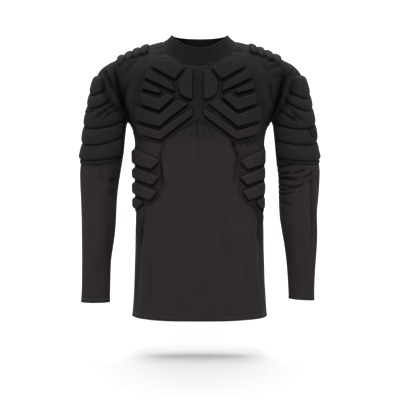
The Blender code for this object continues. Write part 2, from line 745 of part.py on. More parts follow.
shirt = bpy.data.collections.new("compression_shirt")
bpy.context.scene.collection.children.link(shirt)


def jersey(name):
    return material(name + "_jersey", (0.020, 0.019, 0.023), 0.75)


def cover(name):
    return material(name + "_cover", (0.024, 0.023, 0.027), 0.7)


make_panel("front", -1, FRONT_FOLDS, jersey("front"), shirt)
make_panel("back", 1, BACK_FOLDS, jersey("back"), shirt)
make_sleeve("sleeve_left", LEFT_SLEEVE, 1, LEFT_SLEEVE_FOLDS, jersey("sleeve_left"), shirt)
make_sleeve("sleeve_right", RIGHT_SLEEVE, -1, RIGHT_SLEEVE_FOLDS, jersey("sleeve_right"), shirt)
make_neckband("neckband", jersey("neckband"), shirt)

make_pad(
    "chest_backing", whole(CHEST_BACKING, CHEST_MIDDLE), LAYER_GAP, LAYER_GAP + BACKING, 0.0, CHEST_GRID,
    cover("chest_backing"), shirt,
)
for side_name, turn in (("left", 1), ("right", -1)):
    for place, outline in CHEST_PADS.items():
        label = f"chest_pad_{place}_{side_name}"
        shape = mirrored(outline, turn, CHEST_MIDDLE)
        make_pad(label, shape, PAD_FOOT, CHEST_PAD_TOP, PAD_EDGE, CHEST_GRID, cover(label), shirt)
    make_rib_panel(f"rib_panel_{side_name}", turn, cover(f"rib_panel_{side_name}"), shirt)

make_arm_pad("arm_pad_left", LEFT_ARM_PAD, LEFT_SLEEVE, 1, cover("arm_pad_left"), shirt)
make_arm_pad("arm_pad_right", RIGHT_ARM_PAD, RIGHT_SLEEVE, -1, cover("arm_pad_right"), shirt)
make_shoulder_pad("shoulder_pad_left", LEFT_SHOULDER_RIBS, 1, cover("shoulder_pad_left"), shirt)
make_shoulder_pad("shoulder_pad_right", RIGHT_SHOULDER_RIBS, -1, cover("shoulder_pad_right"), shirt)
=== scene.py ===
# %% [markdown]
# # A padded compression shirt
#
# This lesson dresses a finished CAD model of a long-sleeved compression shirt with foam pads.
# The shirt hangs in the air as if somebody were in it, but nobody is: it is a set of thin walls round a
# hollow. Each cell makes one piece or one finish, and says why it is made that way. Lengths are millimetres
# until a mesh is made, because cloth is easier to think about in millimetres.

import functools
import json
import math

import bmesh
import bpy
import numpy as np
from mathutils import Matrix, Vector

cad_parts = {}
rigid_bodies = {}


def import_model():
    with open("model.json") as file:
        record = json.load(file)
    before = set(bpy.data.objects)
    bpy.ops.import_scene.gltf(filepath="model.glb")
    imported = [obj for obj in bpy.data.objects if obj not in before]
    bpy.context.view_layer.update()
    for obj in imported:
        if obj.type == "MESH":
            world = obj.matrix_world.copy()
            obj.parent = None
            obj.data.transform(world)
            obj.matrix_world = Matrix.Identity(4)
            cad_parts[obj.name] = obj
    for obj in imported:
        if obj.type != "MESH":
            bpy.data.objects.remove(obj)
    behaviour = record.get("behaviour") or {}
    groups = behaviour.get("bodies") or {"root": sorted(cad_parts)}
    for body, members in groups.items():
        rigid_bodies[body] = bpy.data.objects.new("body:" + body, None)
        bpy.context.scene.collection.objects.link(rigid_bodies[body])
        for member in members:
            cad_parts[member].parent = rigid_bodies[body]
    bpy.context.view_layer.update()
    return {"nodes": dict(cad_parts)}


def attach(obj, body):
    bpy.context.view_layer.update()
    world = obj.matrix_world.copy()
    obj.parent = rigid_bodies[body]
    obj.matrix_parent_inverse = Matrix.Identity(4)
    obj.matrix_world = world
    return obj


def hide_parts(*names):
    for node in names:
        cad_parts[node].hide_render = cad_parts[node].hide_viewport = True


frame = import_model()
MM = 0.001
print("nodes in the frame:", len(frame["nodes"]))

# %% [markdown]
# ## Camera
#
# The photo looks straight at the chest from the height of the shirt's middle. 400 pixels cover one metre at
# the shirt, so the lens follows from the distance. A longer distance with a longer lens flattens the shape,
# and a shorter one swells it.

# %% Camera
CAMERA_DISTANCE, VIEW_WIDTH, CAMERA_HEIGHT = 2.3, 1.0, -0.3975
camera_data = bpy.data.cameras.new("camera")
camera_data.sensor_width = 36.0
camera_data.lens = 36.0 * CAMERA_DISTANCE / VIEW_WIDTH
camera = bpy.data.objects.new("camera", camera_data)
camera.location = (0.001, -CAMERA_DISTANCE, CAMERA_HEIGHT)
camera.rotation_euler = (math.radians(90), 0, 0)
bpy.context.scene.collection.objects.link(camera)
bpy.context.scene.camera = camera
print("lens", round(camera_data.lens, 1), "mm")

# %% [markdown]
# ## Shader maths
#
# A procedural material is a small calculation, and node trees hide calculations well. These two helpers let a
# material be written as ordinary Python: Value wraps a socket and adds a Math node for each sign, and Finish
# adds any other node.


# %% Sockets that can be added and multiplied
class Value:
    """One number that changes over a surface: the output socket of a shader node."""

    def __init__(self, finish, socket):
        self.finish, self.socket = finish, socket

    def math(self, operation, *others, swap=False):
        inputs = [self, *others]
        if swap:
            inputs = inputs[::-1]
        numbered = {str(k): value for k, value in enumerate(inputs)}
        return self.finish.node("ShaderNodeMath", {"operation": operation}, **numbered)

    def __add__(self, other):
        return self.math("ADD", other)

    __radd__ = __add__

    def __sub__(self, other):
        return self.math("SUBTRACT", other)

    def __rsub__(self, other):
        return self.math("SUBTRACT", other, swap=True)

    def __mul__(self, other):
        return self.math("MULTIPLY", other)

    __rmul__ = __mul__

    def __pow__(self, other):
        return self.math("POWER", other)

    def sine(self):
        return self.math("SINE")

    def size(self):
        return self.math("ABSOLUTE")

    def fraction(self):
        return self.math("FRACT")

    def held(self, low, high):
        return self.math("MAXIMUM", low).math("MINIMUM", high)


class Finish:
    """A material and its Principled shader, with one way of adding nodes."""

    def __init__(self, name):
        self.material = bpy.data.materials.new(name)
        self.material.use_nodes = True
        self.tree = self.material.node_tree
        self.shader = self.tree.nodes["Principled BSDF"]

    def node(self, kind, settings=None, output=0, **values):
        made = self.tree.nodes.new(kind)
        for name, value in (settings or {}).items():
            if name == "stops":
                ramp = made.color_ramp
                while len(ramp.elements) < len(value):
                    ramp.elements.new(0.5)
                for element, (place, colour) in zip(ramp.elements, value):
                    element.position, element.color = place, (*colour, 1)
            else:
                setattr(made, name, value)
        for name, value in values.items():
            self.put(made.inputs[int(name) if name.isdigit() else name.replace("_", " ")], value)
        return Value(self, made.outputs[output])

    def mixed(self, share, a, b):
        """Colour a where share is 0, and b where it is 1."""
        made = self.tree.nodes.new("ShaderNodeMix")
        made.data_type = "RGBA"
        for socket, value in zip((made.inputs[0], made.inputs[6], made.inputs[7]), (share, a, b)):
            self.put(socket, (*value, 1.0) if isinstance(value, (tuple, list)) else value)
        return Value(self, made.outputs[2])

    def scaled(self, colour, amount):
        made = self.tree.nodes.new("ShaderNodeVectorMath")
        made.operation = "SCALE"
        self.put(made.inputs[0], colour)
        made.inputs["Scale"].default_value = amount
        return Value(self, made.outputs[0])

    def put(self, socket, value):
        if isinstance(value, Value):
            self.tree.links.new(value.socket, socket)
        else:
            socket.default_value = value

    def set(self, **values):
        for name, value in values.items():
            self.put(self.shader.inputs[name.replace("_", " ")], value)


print("shader helpers ready")

# %% [markdown]
# ## Jersey
#
# The shirt is knitted from very fine polyester and elastane yarn: nearly black, with a faint sheen where the
# cloth turns away. It is warm on the trunk and the forearms, and cooler above the chest, where its colour is
# also darkened as painted shade on the up-facing shoulders and yoke. The knit is drawn in each piece's
# own UV map, which is in centimetres on the cloth, so that the columns of loops run down the cloth and bend
# with it. A loop is a V: a sine wave along the column, whose phase is pushed by the distance from the
# column's middle. Slow noise makes the dye a little uneven. Light hardly reaches a crease, an armpit or the
# channels round a pad's blocks, and near black only the dye can show that, so the dye is darkened there as
# painted shade: each piece stores that painted shade for each of its points in a point attribute, and the
# finish reads it.


# %% Knitted finishes
def knit_height(finish, column_mm, course_mm):
    """A height from 0 to 1 of columns of V-shaped loops."""
    place = finish.node("ShaderNodeUVMap", {"uv_map": "cloth"})
    across = finish.node("ShaderNodeSeparateXYZ", Vector=place)
    along = Value(finish, across.socket.node.outputs[1])
    column = across * (10 / column_mm)
    from_middle = (column.fraction() - 0.5).size()
    loop = ((along * (10 / course_mm) + from_middle * 1.3) * (2 * math.pi)).sine()
    groove = 1 - (from_middle * 2) ** 4
    return (loop * 0.5 + 0.5) * groove


def knitted(name, colour, upper, column_mm, course_mm, depth, mottle, hollow=1.0, roughness=0.80):
    """A knitted finish. colour turns into upper above the chest, which for the jersey and the pad cover is a
    cooler tone of the cloth that is also much darker as painted shade on the up-facing shoulders and yoke.
    mottle is how much the dye varies, and hollow is how light the finish stays where the painted shade is
    darkest."""
    finish = Finish(name)
    place = finish.node("ShaderNodeTexCoord", output=3)
    cloudy = finish.node("ShaderNodeTexNoise", Vector=place, Scale=22.0, Detail=4.0, Roughness=0.6)
    fuzz = finish.node("ShaderNodeTexNoise", Vector=place, Scale=900.0, Detail=2.0, Roughness=0.7)
    loops = knit_height(finish, column_mm, course_mm)
    shade = (1 - mottle) + (cloudy * 2 * mottle) + (loops - 0.5) * 0.25 + (fuzz - 0.5) * 0.2
    # Painted shade: the dye is darkened where the piece's stored painted shade is low, down to hollow.
    if hollow < 1:
        relief = finish.node("ShaderNodeAttribute", {"attribute_name": "relief"}, output=2)
        shade = shade * (relief * (1 - hollow) + hollow)
    # Above the chest the colour turns to upper: a cooler tone of the cloth, and for the jersey and the pad
    # cover also much darker as painted shade on the up-facing shoulders and yoke.
    split = finish.node("ShaderNodeSeparateXYZ", output=2, Vector=place)
    raised = ((split + cloudy * 0.06) * 6 + 1.45).held(0.0, 1.0)
    dye = finish.mixed(raised, colour, upper)
    tint = finish.mixed((shade * 0.5).held(0.0, 1.0), (0.0, 0.0, 0.0), finish.scaled(dye, 2.0))
    bump = finish.node(
        "ShaderNodeBump", Strength=0.6, Distance=depth * MM, Height=loops + (fuzz - 0.5) * 0.6
    )
    finish.set(
        Base_Color=tint,
        Roughness=(roughness + (cloudy - 0.5) * 0.16 + (fuzz - 0.5) * 0.1).held(0.2, 1.0),
        Normal=bump,
        Sheen_Weight=0.015,
        Sheen_Roughness=0.4,
        Sheen_Tint=(1.0, 0.95, 0.97, 1.0),
        Specular_IOR_Level=0.05,
    )
    return finish.material


# The second colour of each pair is for above the chest. For the jersey and the pad cover it is much darker:
# painted shade on the up-facing shoulders and yoke, with a cooler tone of the cloth's own.
WARM, SHADED_NEUTRAL = (0.0223, 0.0186, 0.0205), (0.0098, 0.0095, 0.0101)
PAD_WARM, PAD_SHADED_NEUTRAL = (0.0262, 0.0214, 0.0238), (0.0124, 0.0120, 0.0128)
ARM_WARM, ARM_NEUTRAL = (0.0152, 0.0136, 0.0145), (0.0140, 0.0136, 0.0142)
BAND_DYE = (0.0044, 0.0044, 0.0050)
jersey = knitted("jersey", WARM, SHADED_NEUTRAL, 0.9, 0.7, depth=0.10, mottle=0.16, hollow=0.04)
pad_cover = knitted("pad_cover", PAD_WARM, PAD_SHADED_NEUTRAL, 0.7, 0.6, depth=0.08, mottle=0.18, hollow=0.02)
arm_cover = knitted("arm_cover", ARM_WARM, ARM_NEUTRAL, 0.7, 0.6, depth=0.08, mottle=0.18, hollow=0.02)
band_jersey = knitted("band_jersey", BAND_DYE, BAND_DYE, 0.8, 0.6, depth=0.10, mottle=0.10)
print("finishes:", jersey.name, pad_cover.name, arm_cover.name, band_jersey.name)

# %% [markdown]
# ## The measurements
#
# Everything follows from a few tables that the CAD source holds as well: how deep and wide the body is at
# each height, where the armhole and the neck lie, and the two ends of each section of a sleeve. One reader
# turns a column of a table into a smooth curve that never overshoots a row, so a table of a few rows gives a
# calm surface.

# %% Sizes and tables
LAYER_GAP = 1.2
CHEST_PAD_TOP, RIB_HEIGHT = 11.0, 10.5

# Armhole: its lowest and highest point in the front view, and half its depth
ARMPIT_X, ARMPIT_Z = 178.0, -202.5
SHOULDER_X, SHOULDER_Z = 212.0, -50.0
ARMHOLE_DEPTH, ARMHOLE_ROUNDNESS = 62.0, 2.1

# Neck seam and neckband
NECK_X, NECK_Z = 91.0, -2.5
FRONT_NECK_DROP, BACK_NECK_DROP = 72.5, 12.0
NECK_ROUNDNESS = 2.2
BAND_TOP_X, BAND_TOP_FRONT, BAND_TOP_BACK = 69.5, 72.0, 56.0
BAND_TOP_Z, BAND_TOP_DIP = 14.5, 42.5

HEM_Z, HEM_DIP = -684.0, 4.0

# Body sections. The half width above the armpit follows the armhole, so it isn't in this table.
BODY_COLUMNS = ("height", "front", "back", "roundness")
BODY = (
    (-700, 106, 110, 2.35),
    (-640, 105, 111, 2.35),
    (-570, 103, 107, 2.35),
    (-500, 101, 98, 2.30),
    (-430, 99, 90, 2.30),
    (-360, 101, 89, 2.30),
    (-300, 106, 95, 2.30),
    (-250, 111, 103, 2.25),
    (-202.5, 115, 110, 2.20),
    (-160, 115, 113, 2.20),
    (-130, 111, 112, 2.15),
    (-100, 103, 107, 2.10),
    (-75, 92, 99, 2.05),
    (-50, 77, 87, 2.00),
    (-35, 66, 76, 2.00),
    (-20, 54, 64, 2.00),
    (-10, 45, 54, 2.00),
    (-2.5, 38, 46, 2.00),
)

# Half widths of the body below the armpit, and of the shoulder line above the armhole
WIDTH_COLUMNS = ("height", "half_width")
TRUNK_WIDTH = (
    (-700, 169),
    (-684, 168),
    (-640, 165),
    (-570, 161.5),
    (-500, 159.5),
    (-430, 159),
    (-360, 160),
    (-300, 160.5),
    (-250, 162),
    (-225, 167),
    (ARMPIT_Z, ARMPIT_X),
)
SHOULDER_LINE = (
    (SHOULDER_Z, SHOULDER_X),
    (-44, 200),
    (-31.5, 175),
    (-21, 150),
    (-11, 125),
    (NECK_Z, NECK_X),
)

# Sleeve sections: the outer and inner end of each in the front view, half its depth, and where its
# middle lies in y
SLEEVE_COLUMNS = ("outer_x", "outer_z", "inner_x", "inner_z", "depth", "middle")
SLEEVE_TOP = (
    (SHOULDER_X, SHOULDER_Z, ARMPIT_X, ARMPIT_Z, ARMHOLE_DEPTH, 0),
    (233, -62, 180, -204, 64, 0),
    (252, -82, 181.5, -207, 64, 1),
    (263, -112, 183, -211, 63, 2),
    (272, -155, 184, -217, 61, 3),
    (280, -195, 185, -227, 59, 4),
    (286, -235, 186.5, -243, 57, 4),
    (290, -275, 189, -275, 54, 4),
)
LEFT_SLEEVE = SLEEVE_TOP + (
    (298, -305, 191.5, -305, 52, 3),
    (300, -330, 195, -330, 50, 3),
    (299, -360, 196.5, -360, 49, 2),
    (297, -392, 197.5, -392, 47, 0),
    (293, -437, 199, -437, 45, -4),
    (291, -475, 204.5, -475, 42, -9),
    (289.5, -505, 210, -505, 39, -13),
    (287.5, -550, 215.5, -550, 34, -20),
    (286, -595, 219, -595, 30, -26),
    (285.5, -644, 222, -640, 27, -32),
)
RIGHT_SLEEVE = SLEEVE_TOP + (
    (297, -305, 193, -305, 52, 3),
    (299, -330, 197, -330, 50, 3),
    (298, -360, 201, -360, 49, 2),
    (296.5, -392, 204.5, -392, 47, 0),
    (295, -437, 207.5, -437, 45, -4),
    (294, -475, 211, -475, 42, -9),
    (293, -505, 214.5, -505, 39, -13),
    (292, -550, 220, -550, 34, -20),
    (292, -595, 222.5, -595, 30, -26),
    (293.5, -649, 224.5, -649, 27, -32),
)


# %% Reading the tables
@functools.lru_cache(maxsize=None)
def curve(table, column):
    """Places, values and slopes of a smooth curve through one column, which never overshoots a row."""
    rows = np.array(table, float)
    place, value = rows[:, 0], rows[:, column]
    step = np.diff(place)
    slope = np.diff(value) / step
    tangent = np.concatenate([slope[:1], np.zeros(len(step) - 1), slope[-1:]])
    for k in range(1, len(step)):
        if slope[k - 1] * slope[k] > 0:
            before, after = 2 * step[k] + step[k - 1], step[k] + 2 * step[k - 1]
            tangent[k] = (before + after) / (before / slope[k - 1] + after / slope[k])
    return place, value, tangent, step


def read(table, columns, name, at):
    """The named column at any value of the table's first column."""
    place, value, tangent, step = curve(table, columns.index(name))
    at = np.clip(np.asarray(at, float), place[0], place[-1])
    k = np.clip(np.searchsorted(place, at) - 1, 0, len(step) - 1)
    t = (at - place[k]) / step[k]
    return (
        (1 + 2 * t) * (1 - t) ** 2 * value[k]
        + t * (1 - t) ** 2 * step[k] * tangent[k]
        + t**2 * (3 - 2 * t) * value[k + 1]
        + t**2 * (t - 1) * step[k] * tangent[k + 1]
    )


def power(value, exponent):
    return np.sign(value) * np.abs(value) ** exponent


def smoothstep(low, high, value):
    t = np.clip((np.asarray(value, float) - low) / (high - low), 0, 1)
    return t * t * (3 - 2 * t)


print("half width of the hem:", round(float(read(TRUNK_WIDTH, WIDTH_COLUMNS, "half_width", HEM_Z)), 1), "mm")

# %% [markdown]
# ## The body's surface
#
# Each horizontal section of the body is a superellipse: an oval whose roundness is one number. Above the
# armpit the section is made just wide enough to pass through the armhole seam, so the front, the back and the
# sleeve meet there.


# %% Points of the body
def armhole_line(z):
    """x of the armhole seam in the front view at height z."""
    return ARMPIT_X + (z - ARMPIT_Z) * (SHOULDER_X - ARMPIT_X) / (SHOULDER_Z - ARMPIT_Z)


def half_width(z):
    """Half the body's width. Beside the armhole it is what the surface needs to pass through the seam."""
    z = np.asarray(z, float)
    trunk = read(TRUNK_WIDTH, WIDTH_COLUMNS, "half_width", z)
    shoulder = read(SHOULDER_LINE, WIDTH_COLUMNS, "half_width", z)
    n = read(BODY, BODY_COLUMNS, "roundness", z)
    depth = read(BODY, BODY_COLUMNS, "front", z)
    along = np.clip((z - (ARMPIT_Z + SHOULDER_Z) / 2) / ((SHOULDER_Z - ARMPIT_Z) / 2), -1, 1)
    open_depth = ARMHOLE_DEPTH * (1 - np.abs(along) ** ARMHOLE_ROUNDNESS) ** (1 / ARMHOLE_ROUNDNESS)
    beside = armhole_line(z) * (1 - (open_depth / depth) ** n) ** (-1 / n)
    return np.where(z < ARMPIT_Z, trunk, np.where(z > SHOULDER_Z, shoulder, beside))


def body_point(side, theta, z):
    """A point of the body at angle theta from its middle line. side is -1 on the front and 1 on the back."""
    theta, z = np.broadcast_arrays(np.asarray(theta, float), np.asarray(z, float))
    n = read(BODY, BODY_COLUMNS, "roundness", z)
    depth = read(BODY, BODY_COLUMNS, "front" if side < 0 else "back", z)
    if side > 0:
        depth = back_depth(theta, z, depth)
    x = half_width(z) * power(np.sin(theta), 2 / n)
    y = side * depth * power(np.cos(theta), 2 / n)
    return np.stack([x, y, z], -1)


def back_depth(theta, z, depth):
    """The back's depth, eased to the front's towards the armhole, so that one sleeve fits both."""
    front = read(BODY, BODY_COLUMNS, "front", z)
    beside = smoothstep(0.3, 0.84, np.abs(np.sin(theta))) * smoothstep(ARMPIT_Z - 60, ARMPIT_Z, z)
    return depth + (front - depth) * beside


def theta_at(x, z):
    """The angle at which the body is x from its middle at height z."""
    n = read(BODY, BODY_COLUMNS, "roundness", z)
    share = np.clip(np.asarray(x, float) / half_width(z), -1, 1)
    return np.arcsin(power(share, n / 2))


def ridge(x):
    """Height of the shoulder seam, x from the middle."""
    z = np.linspace(SHOULDER_Z, NECK_Z, 200)
    return np.interp(-np.abs(x), -half_width(z), z)


# %% Grids, neckline and sleeves
def unit(vectors):
    return vectors / np.maximum(np.linalg.norm(vectors, axis=-1, keepdims=True), 1e-12)


def grid_normals(points, closed=False):
    """Outward normals of a grid whose rows run up and whose columns run to the wearer's left on the front."""
    rows = np.gradient(points, axis=0)
    if closed:
        columns = np.roll(points, -1, 1) - np.roll(points, 1, 1)
    else:
        columns = np.gradient(points, axis=1)
    return unit(np.cross(columns, rows))


def evenly(path, count):
    """count + 1 points at equal distances along a path of many points."""
    run = np.concatenate([[0], np.cumsum(np.linalg.norm(np.diff(path, axis=0), axis=1))])
    at = np.linspace(0, run[-1], count + 1)
    return np.stack([np.interp(at, run, path[:, k]) for k in range(3)], -1)


def neckline(side, share):
    """(x, z) on the neck seam, share 0 at the middle and 1 where the shoulder seam starts."""
    drop = FRONT_NECK_DROP if side < 0 else BACK_NECK_DROP
    angle = share * math.pi / 2
    x = NECK_X * power(np.sin(angle), 2 / NECK_ROUNDNESS)
    return x, NECK_Z - drop * power(np.cos(angle), 2 / NECK_ROUNDNESS)


def panel_grid(side, columns, lower_rows, upper_rows):
    """The front or back panel's outer points, from the hem up. Its top row's middle half is the neckline."""
    across = np.linspace(-1, 1, columns + 1)
    theta = across * math.pi / 2
    hem = HEM_Z - HEM_DIP * np.cos(theta)
    grid = np.empty((lower_rows + upper_rows + 1, columns + 1, 3))
    for row in range(lower_rows + 1):
        z = ARMPIT_Z - (ARMPIT_Z - hem) * (1 - row / lower_rows) ** 1.5
        grid[row] = body_point(side, theta, z)
    closing = (1 - np.cos(np.linspace(0, math.pi, 400))) / 2
    armpit_roundness = read(BODY, BODY_COLUMNS, "roundness", ARMPIT_Z)
    for k, u in enumerate(across):
        start_x = half_width(ARMPIT_Z) * power(np.sin(theta[k]), 2 / armpit_roundness)
        if abs(u) <= 0.5:
            end_x, end_z = neckline(side, abs(u) / 0.5)
            end_x *= np.sign(u)
        else:
            end_x = np.sign(u) * (NECK_X + (SHOULDER_X - NECK_X) * (abs(u) - 0.5) / 0.5)
            end_z = ridge(end_x)
        x = start_x + (end_x - start_x) * closing
        z = ARMPIT_Z + (end_z - ARMPIT_Z) * closing
        path = body_point(side, theta_at(x, z), z)
        grid[lower_rows:, k] = evenly(path, upper_rows)
    return grid


def sleeve_reader(table):
    """The function that turns a distance down the sleeve and an angle into a point, and the sleeve's length.

    Angle 0 is the outer side and a quarter turn the front.
    """
    rows = np.array(table, float)
    centre = (rows[:, 0:2] + rows[:, 2:4]) / 2
    run = np.concatenate([[0], np.cumsum(np.linalg.norm(np.diff(centre, axis=0), axis=1))])
    keyed = tuple(map(tuple, np.column_stack([run, rows])))
    columns = ("run",) + SLEEVE_COLUMNS

    def point(down, angle):
        down, angle = np.broadcast_arrays(np.asarray(down, float), np.asarray(angle, float))
        value = {name: read(keyed, columns, name, down) for name in SLEEVE_COLUMNS}
        n = 2 + (ARMHOLE_ROUNDNESS - 2) * np.exp(-down / 60)
        cosine = power(np.cos(angle), 2 / n)
        outer, inner = (1 + cosine) / 2, (1 - cosine) / 2
        x = value["outer_x"] * outer + value["inner_x"] * inner
        z = value["outer_z"] * outer + value["inner_z"] * inner
        y = value["middle"] - value["depth"] * power(np.sin(angle), 2 / n)
        return np.stack([x, y, z], -1)

    return point, run[-1]


seam_ends = [round(float(ridge(x)), 1) for x in (NECK_X, SHOULDER_X)]
print("height of the shoulder seam at the neck and at its end:", seam_ends)


# %% Coordinates on the body's cloth
def band_top(angle):
    """The neckband's top edge. Angle 0 is the front's middle and a quarter turn the wearer's left."""
    forward = np.cos(angle)
    y = -(BAND_TOP_FRONT + BAND_TOP_BACK) / 2 * forward - (BAND_TOP_FRONT - BAND_TOP_BACK) / 2
    z = BAND_TOP_Z - BAND_TOP_DIP * np.maximum(forward, 0) ** 1.6
    return np.stack([BAND_TOP_X * np.sin(angle), y, z], -1)


def neck_seam(angle):
    """Points of the seam between the neckband and the panels."""
    out = []
    for turn in angle:
        front = abs(turn) <= math.pi / 2
        x, z = neckline(-1 if front else 1, (abs(turn) if front else math.pi - abs(turn)) / (math.pi / 2))
        x = float(x) * np.sign(turn)
        out.append(body_point(-1 if front else 1, theta_at(x, z), z))
    return np.array(out)


ARC_HEIGHTS = np.linspace(-700, -6, 200)
ARC_ANGLES = np.linspace(0, math.pi, 241)


def loop_point(turn, z):
    """A point of the body. turn is 0 at the front's middle, a quarter turn at the left side seam."""
    turn, z = np.broadcast_arrays(np.asarray(turn, float), np.asarray(z, float))
    front = body_point(-1, np.clip(turn, -math.pi / 2, math.pi / 2), z)
    behind = body_point(1, np.clip(np.sign(turn) * math.pi - turn, -math.pi / 2, math.pi / 2), z)
    return np.where((np.abs(turn) > math.pi / 2)[..., None], behind, front)


@functools.lru_cache(maxsize=None)
def arc_table():
    points = loop_point(ARC_ANGLES[None, :], ARC_HEIGHTS[:, None])
    run = np.linalg.norm(np.diff(points, axis=1), axis=-1)
    return np.concatenate([np.zeros((len(ARC_HEIGHTS), 1)), np.cumsum(run, axis=1)], axis=1)


def turn_at(distance, z):
    """The turn that lies the given distance round the body at height z."""
    table = arc_table()
    step = ARC_HEIGHTS[1] - ARC_HEIGHTS[0]
    row = np.clip((np.asarray(z) - ARC_HEIGHTS[0]) / step, 0, len(ARC_HEIGHTS) - 1.001)
    out = np.empty(len(distance))
    for k, (far, r) in enumerate(zip(distance, row)):
        low, part = int(r), r - int(r)
        run = table[low] * (1 - part) + table[low + 1] * part
        out[k] = np.sign(far) * np.interp(abs(far), run, ARC_ANGLES)
    return out


def on_body(distance, z, height):
    """Points of the body's cloth moved out by a height."""
    turn = turn_at(distance, z)
    round_body = loop_point(turn + 0.004, z) - loop_point(turn - 0.004, z)
    upward = loop_point(turn, z + 0.5) - loop_point(turn, z - 0.5)
    return loop_point(turn, z) + unit(np.cross(round_body, upward)) * np.asarray(height)[:, None]


chest_girth = 2 * np.linalg.norm(np.diff(loop_point(ARC_ANGLES, ARMPIT_Z), axis=0), axis=1).sum()
print("girth at the armpits:", round(float(chest_girth)), "mm")


# %% [markdown]
# ## Cloth shells
#
# A knitted shell is a grid of points a few millimetres apart with a second grid 0.9 mm behind it, closed at
# its edges. The same grid carries the creases: each one is a row of a table, a line on the cloth with a width
# and a depth, which bows a little and fades out at both ends. A trough pushes up a low ridge on each side of
# it, as real cloth does. Near a seam the cloth turns in, so that two pieces meet in a small valley. Along the
# armhole both pieces sink together into one deep fold, because there the hanging arm presses the cloth
# together.


# %% Shells and creases
SKIN, CREASE_DEPTH = 0.9, 2.3

# The fold along the armhole: its depth, its half width and the height of its deepest place
FOLD_DEPTH, FOLD_REACH, FOLD_Z = 17.0, 12.0, -140.0


def cloth_map(points, closed):
    """Centimetres across and along the cloth at each point of a grid."""
    wrapped = np.concatenate([points, points[:, :1]], axis=1) if closed else points
    across = np.linalg.norm(np.diff(wrapped, axis=1), axis=-1)
    across = np.concatenate([np.zeros((len(points), 1)), np.cumsum(across, axis=1)], axis=1)
    across = across - across[:, across.shape[1] // 2, None]
    along = np.cumsum(np.linalg.norm(np.gradient(wrapped, axis=0), axis=-1), axis=0)
    return np.stack([across, along], -1) / 10


def cloth_mesh(name, outside, finish, closed=False, thickness=SKIN, inward=None):
    """A closed shell from a grid of outer points, with its cloth UV map."""
    rows, columns = outside.shape[:2]
    if inward is None:
        inward = -grid_normals(outside, closed)
    inside = outside + inward * thickness
    points = np.concatenate([outside.reshape(-1, 3), inside.reshape(-1, 3)])
    last = columns if closed else columns - 1
    r, c = np.meshgrid(np.arange(rows - 1), np.arange(last), indexing="ij")
    a, b = r * columns + c, r * columns + (c + 1) % columns
    d, e = a + columns, b + columns
    back = rows * columns
    outer = np.stack([a, b, e, d], -1).reshape(-1, 4)
    inner = np.stack([a, d, e, b], -1).reshape(-1, 4) + back
    first, final = np.arange(last), (rows - 1) * columns + np.arange(last)
    following = (np.arange(last) + 1) % columns
    low = np.stack([first, back + first, back + following, following], -1)
    top = (rows - 1) * columns
    high = np.stack([final, top + following, back + top + following, back + final], -1)
    faces = [outer, inner, low, high]
    if not closed:
        left = np.arange(rows - 1) * columns
        right = left + columns - 1
        faces.append(np.stack([left, left + columns, back + left + columns, back + left], -1))
        faces.append(np.stack([right, back + right, back + right + columns, right + columns], -1))
    faces = np.concatenate(faces)
    mesh = bpy.data.meshes.new(name)
    mesh.from_pydata((points * MM).tolist(), [], faces.tolist())
    flat = cloth_map(outside, closed)
    # A closed tube's last column of faces needs the far end of the map, not its start
    at = np.stack([np.clip(faces % back // columns, 0, rows - 1), faces % back % columns], -1)
    if closed:
        wraps = (at[..., 1].max(1) == columns - 1) & (at[..., 1].min(1) == 0)
        at[..., 1] = np.where(wraps[:, None] & (at[..., 1] == 0), columns, at[..., 1])
    layer = mesh.uv_layers.new(name="cloth")
    layer.data.foreach_set("uv", flat[at[..., 0], at[..., 1]].reshape(-1))
    return add_piece(name, mesh, finish)


def add_piece(name, mesh, finish):
    """An object at the origin with one finish, smooth shaded, faces outwards."""
    bm = bmesh.new()
    bm.from_mesh(mesh)
    bmesh.ops.recalc_face_normals(bm, faces=bm.faces[:])
    if bm.calc_volume(signed=True) < 0:
        bmesh.ops.reverse_faces(bm, faces=bm.faces[:])
    bm.to_mesh(mesh)
    bm.free()
    mesh.materials.append(finish)
    mesh.shade_smooth()
    made = bpy.data.objects.new(name, mesh)
    bpy.context.scene.collection.objects.link(made)
    return made


def set_relief(piece, relief):
    """Keeps the painted shade of each point, from 0 where it is darkest to 1, for the finish to read."""
    layer = piece.data.attributes.new("relief", "FLOAT", "POINT")
    layer.data.foreach_set("value", np.clip(relief, 0, 1).astype(np.float32))
    return piece


def creased(points, normals, creases):
    """A grid of points pushed in and out by creases.

    A crease is from_x, from_z, to_x, to_z, bow and width in millimetres, and its share of CREASE_DEPTH.
    """
    depth = np.zeros(points.shape[:-1])
    for x0, z0, x1, z1, bow, width, deep in creases:
        length = math.hypot(x1 - x0, z1 - z0)
        dx, dz = (x1 - x0) / length, (z1 - z0) / length
        along = ((points[..., 0] - x0) * dx + (points[..., 2] - z0) * dz) / length
        off = (points[..., 0] - x0) * dz - (points[..., 2] - z0) * dx
        off = (off - bow * 4 * along * (1 - along)) / (width * (0.7 + 0.5 * np.clip(along, 0, 1)))
        ends = smoothstep(-0.12, 0.22, along) * smoothstep(1.15, 0.55, along)
        shape = np.exp(-(off**2)) - 0.32 * np.exp(-((np.abs(off) - 1.9) ** 2) / 0.7)
        depth += CREASE_DEPTH * deep * shape * ends
    return points - normals * depth[..., None]


def seam_valley(distance, depth=0.8, reach=2.2):
    """How far the cloth turns in at a distance from its seam."""
    return depth * np.exp(-((np.asarray(distance) / reach) ** 2))


def folded_edge(distance, fold):
    """How far the cloth stands out near an edge that is turned up and stitched along its fold."""
    return smoothstep(fold + 1.2, fold - 0.6, distance) * 0.45 - seam_valley(distance - fold, 0.45, 1.3)


def crease_shade(before, after, normals, weight=0.6):
    """How light the cloth is: 1 where it is open, down to 1 - weight where a crease pushed it in."""
    sunk = ((before - after) * normals).sum(-1)
    return 1 - weight * smoothstep(0.6, 4.5, sunk)


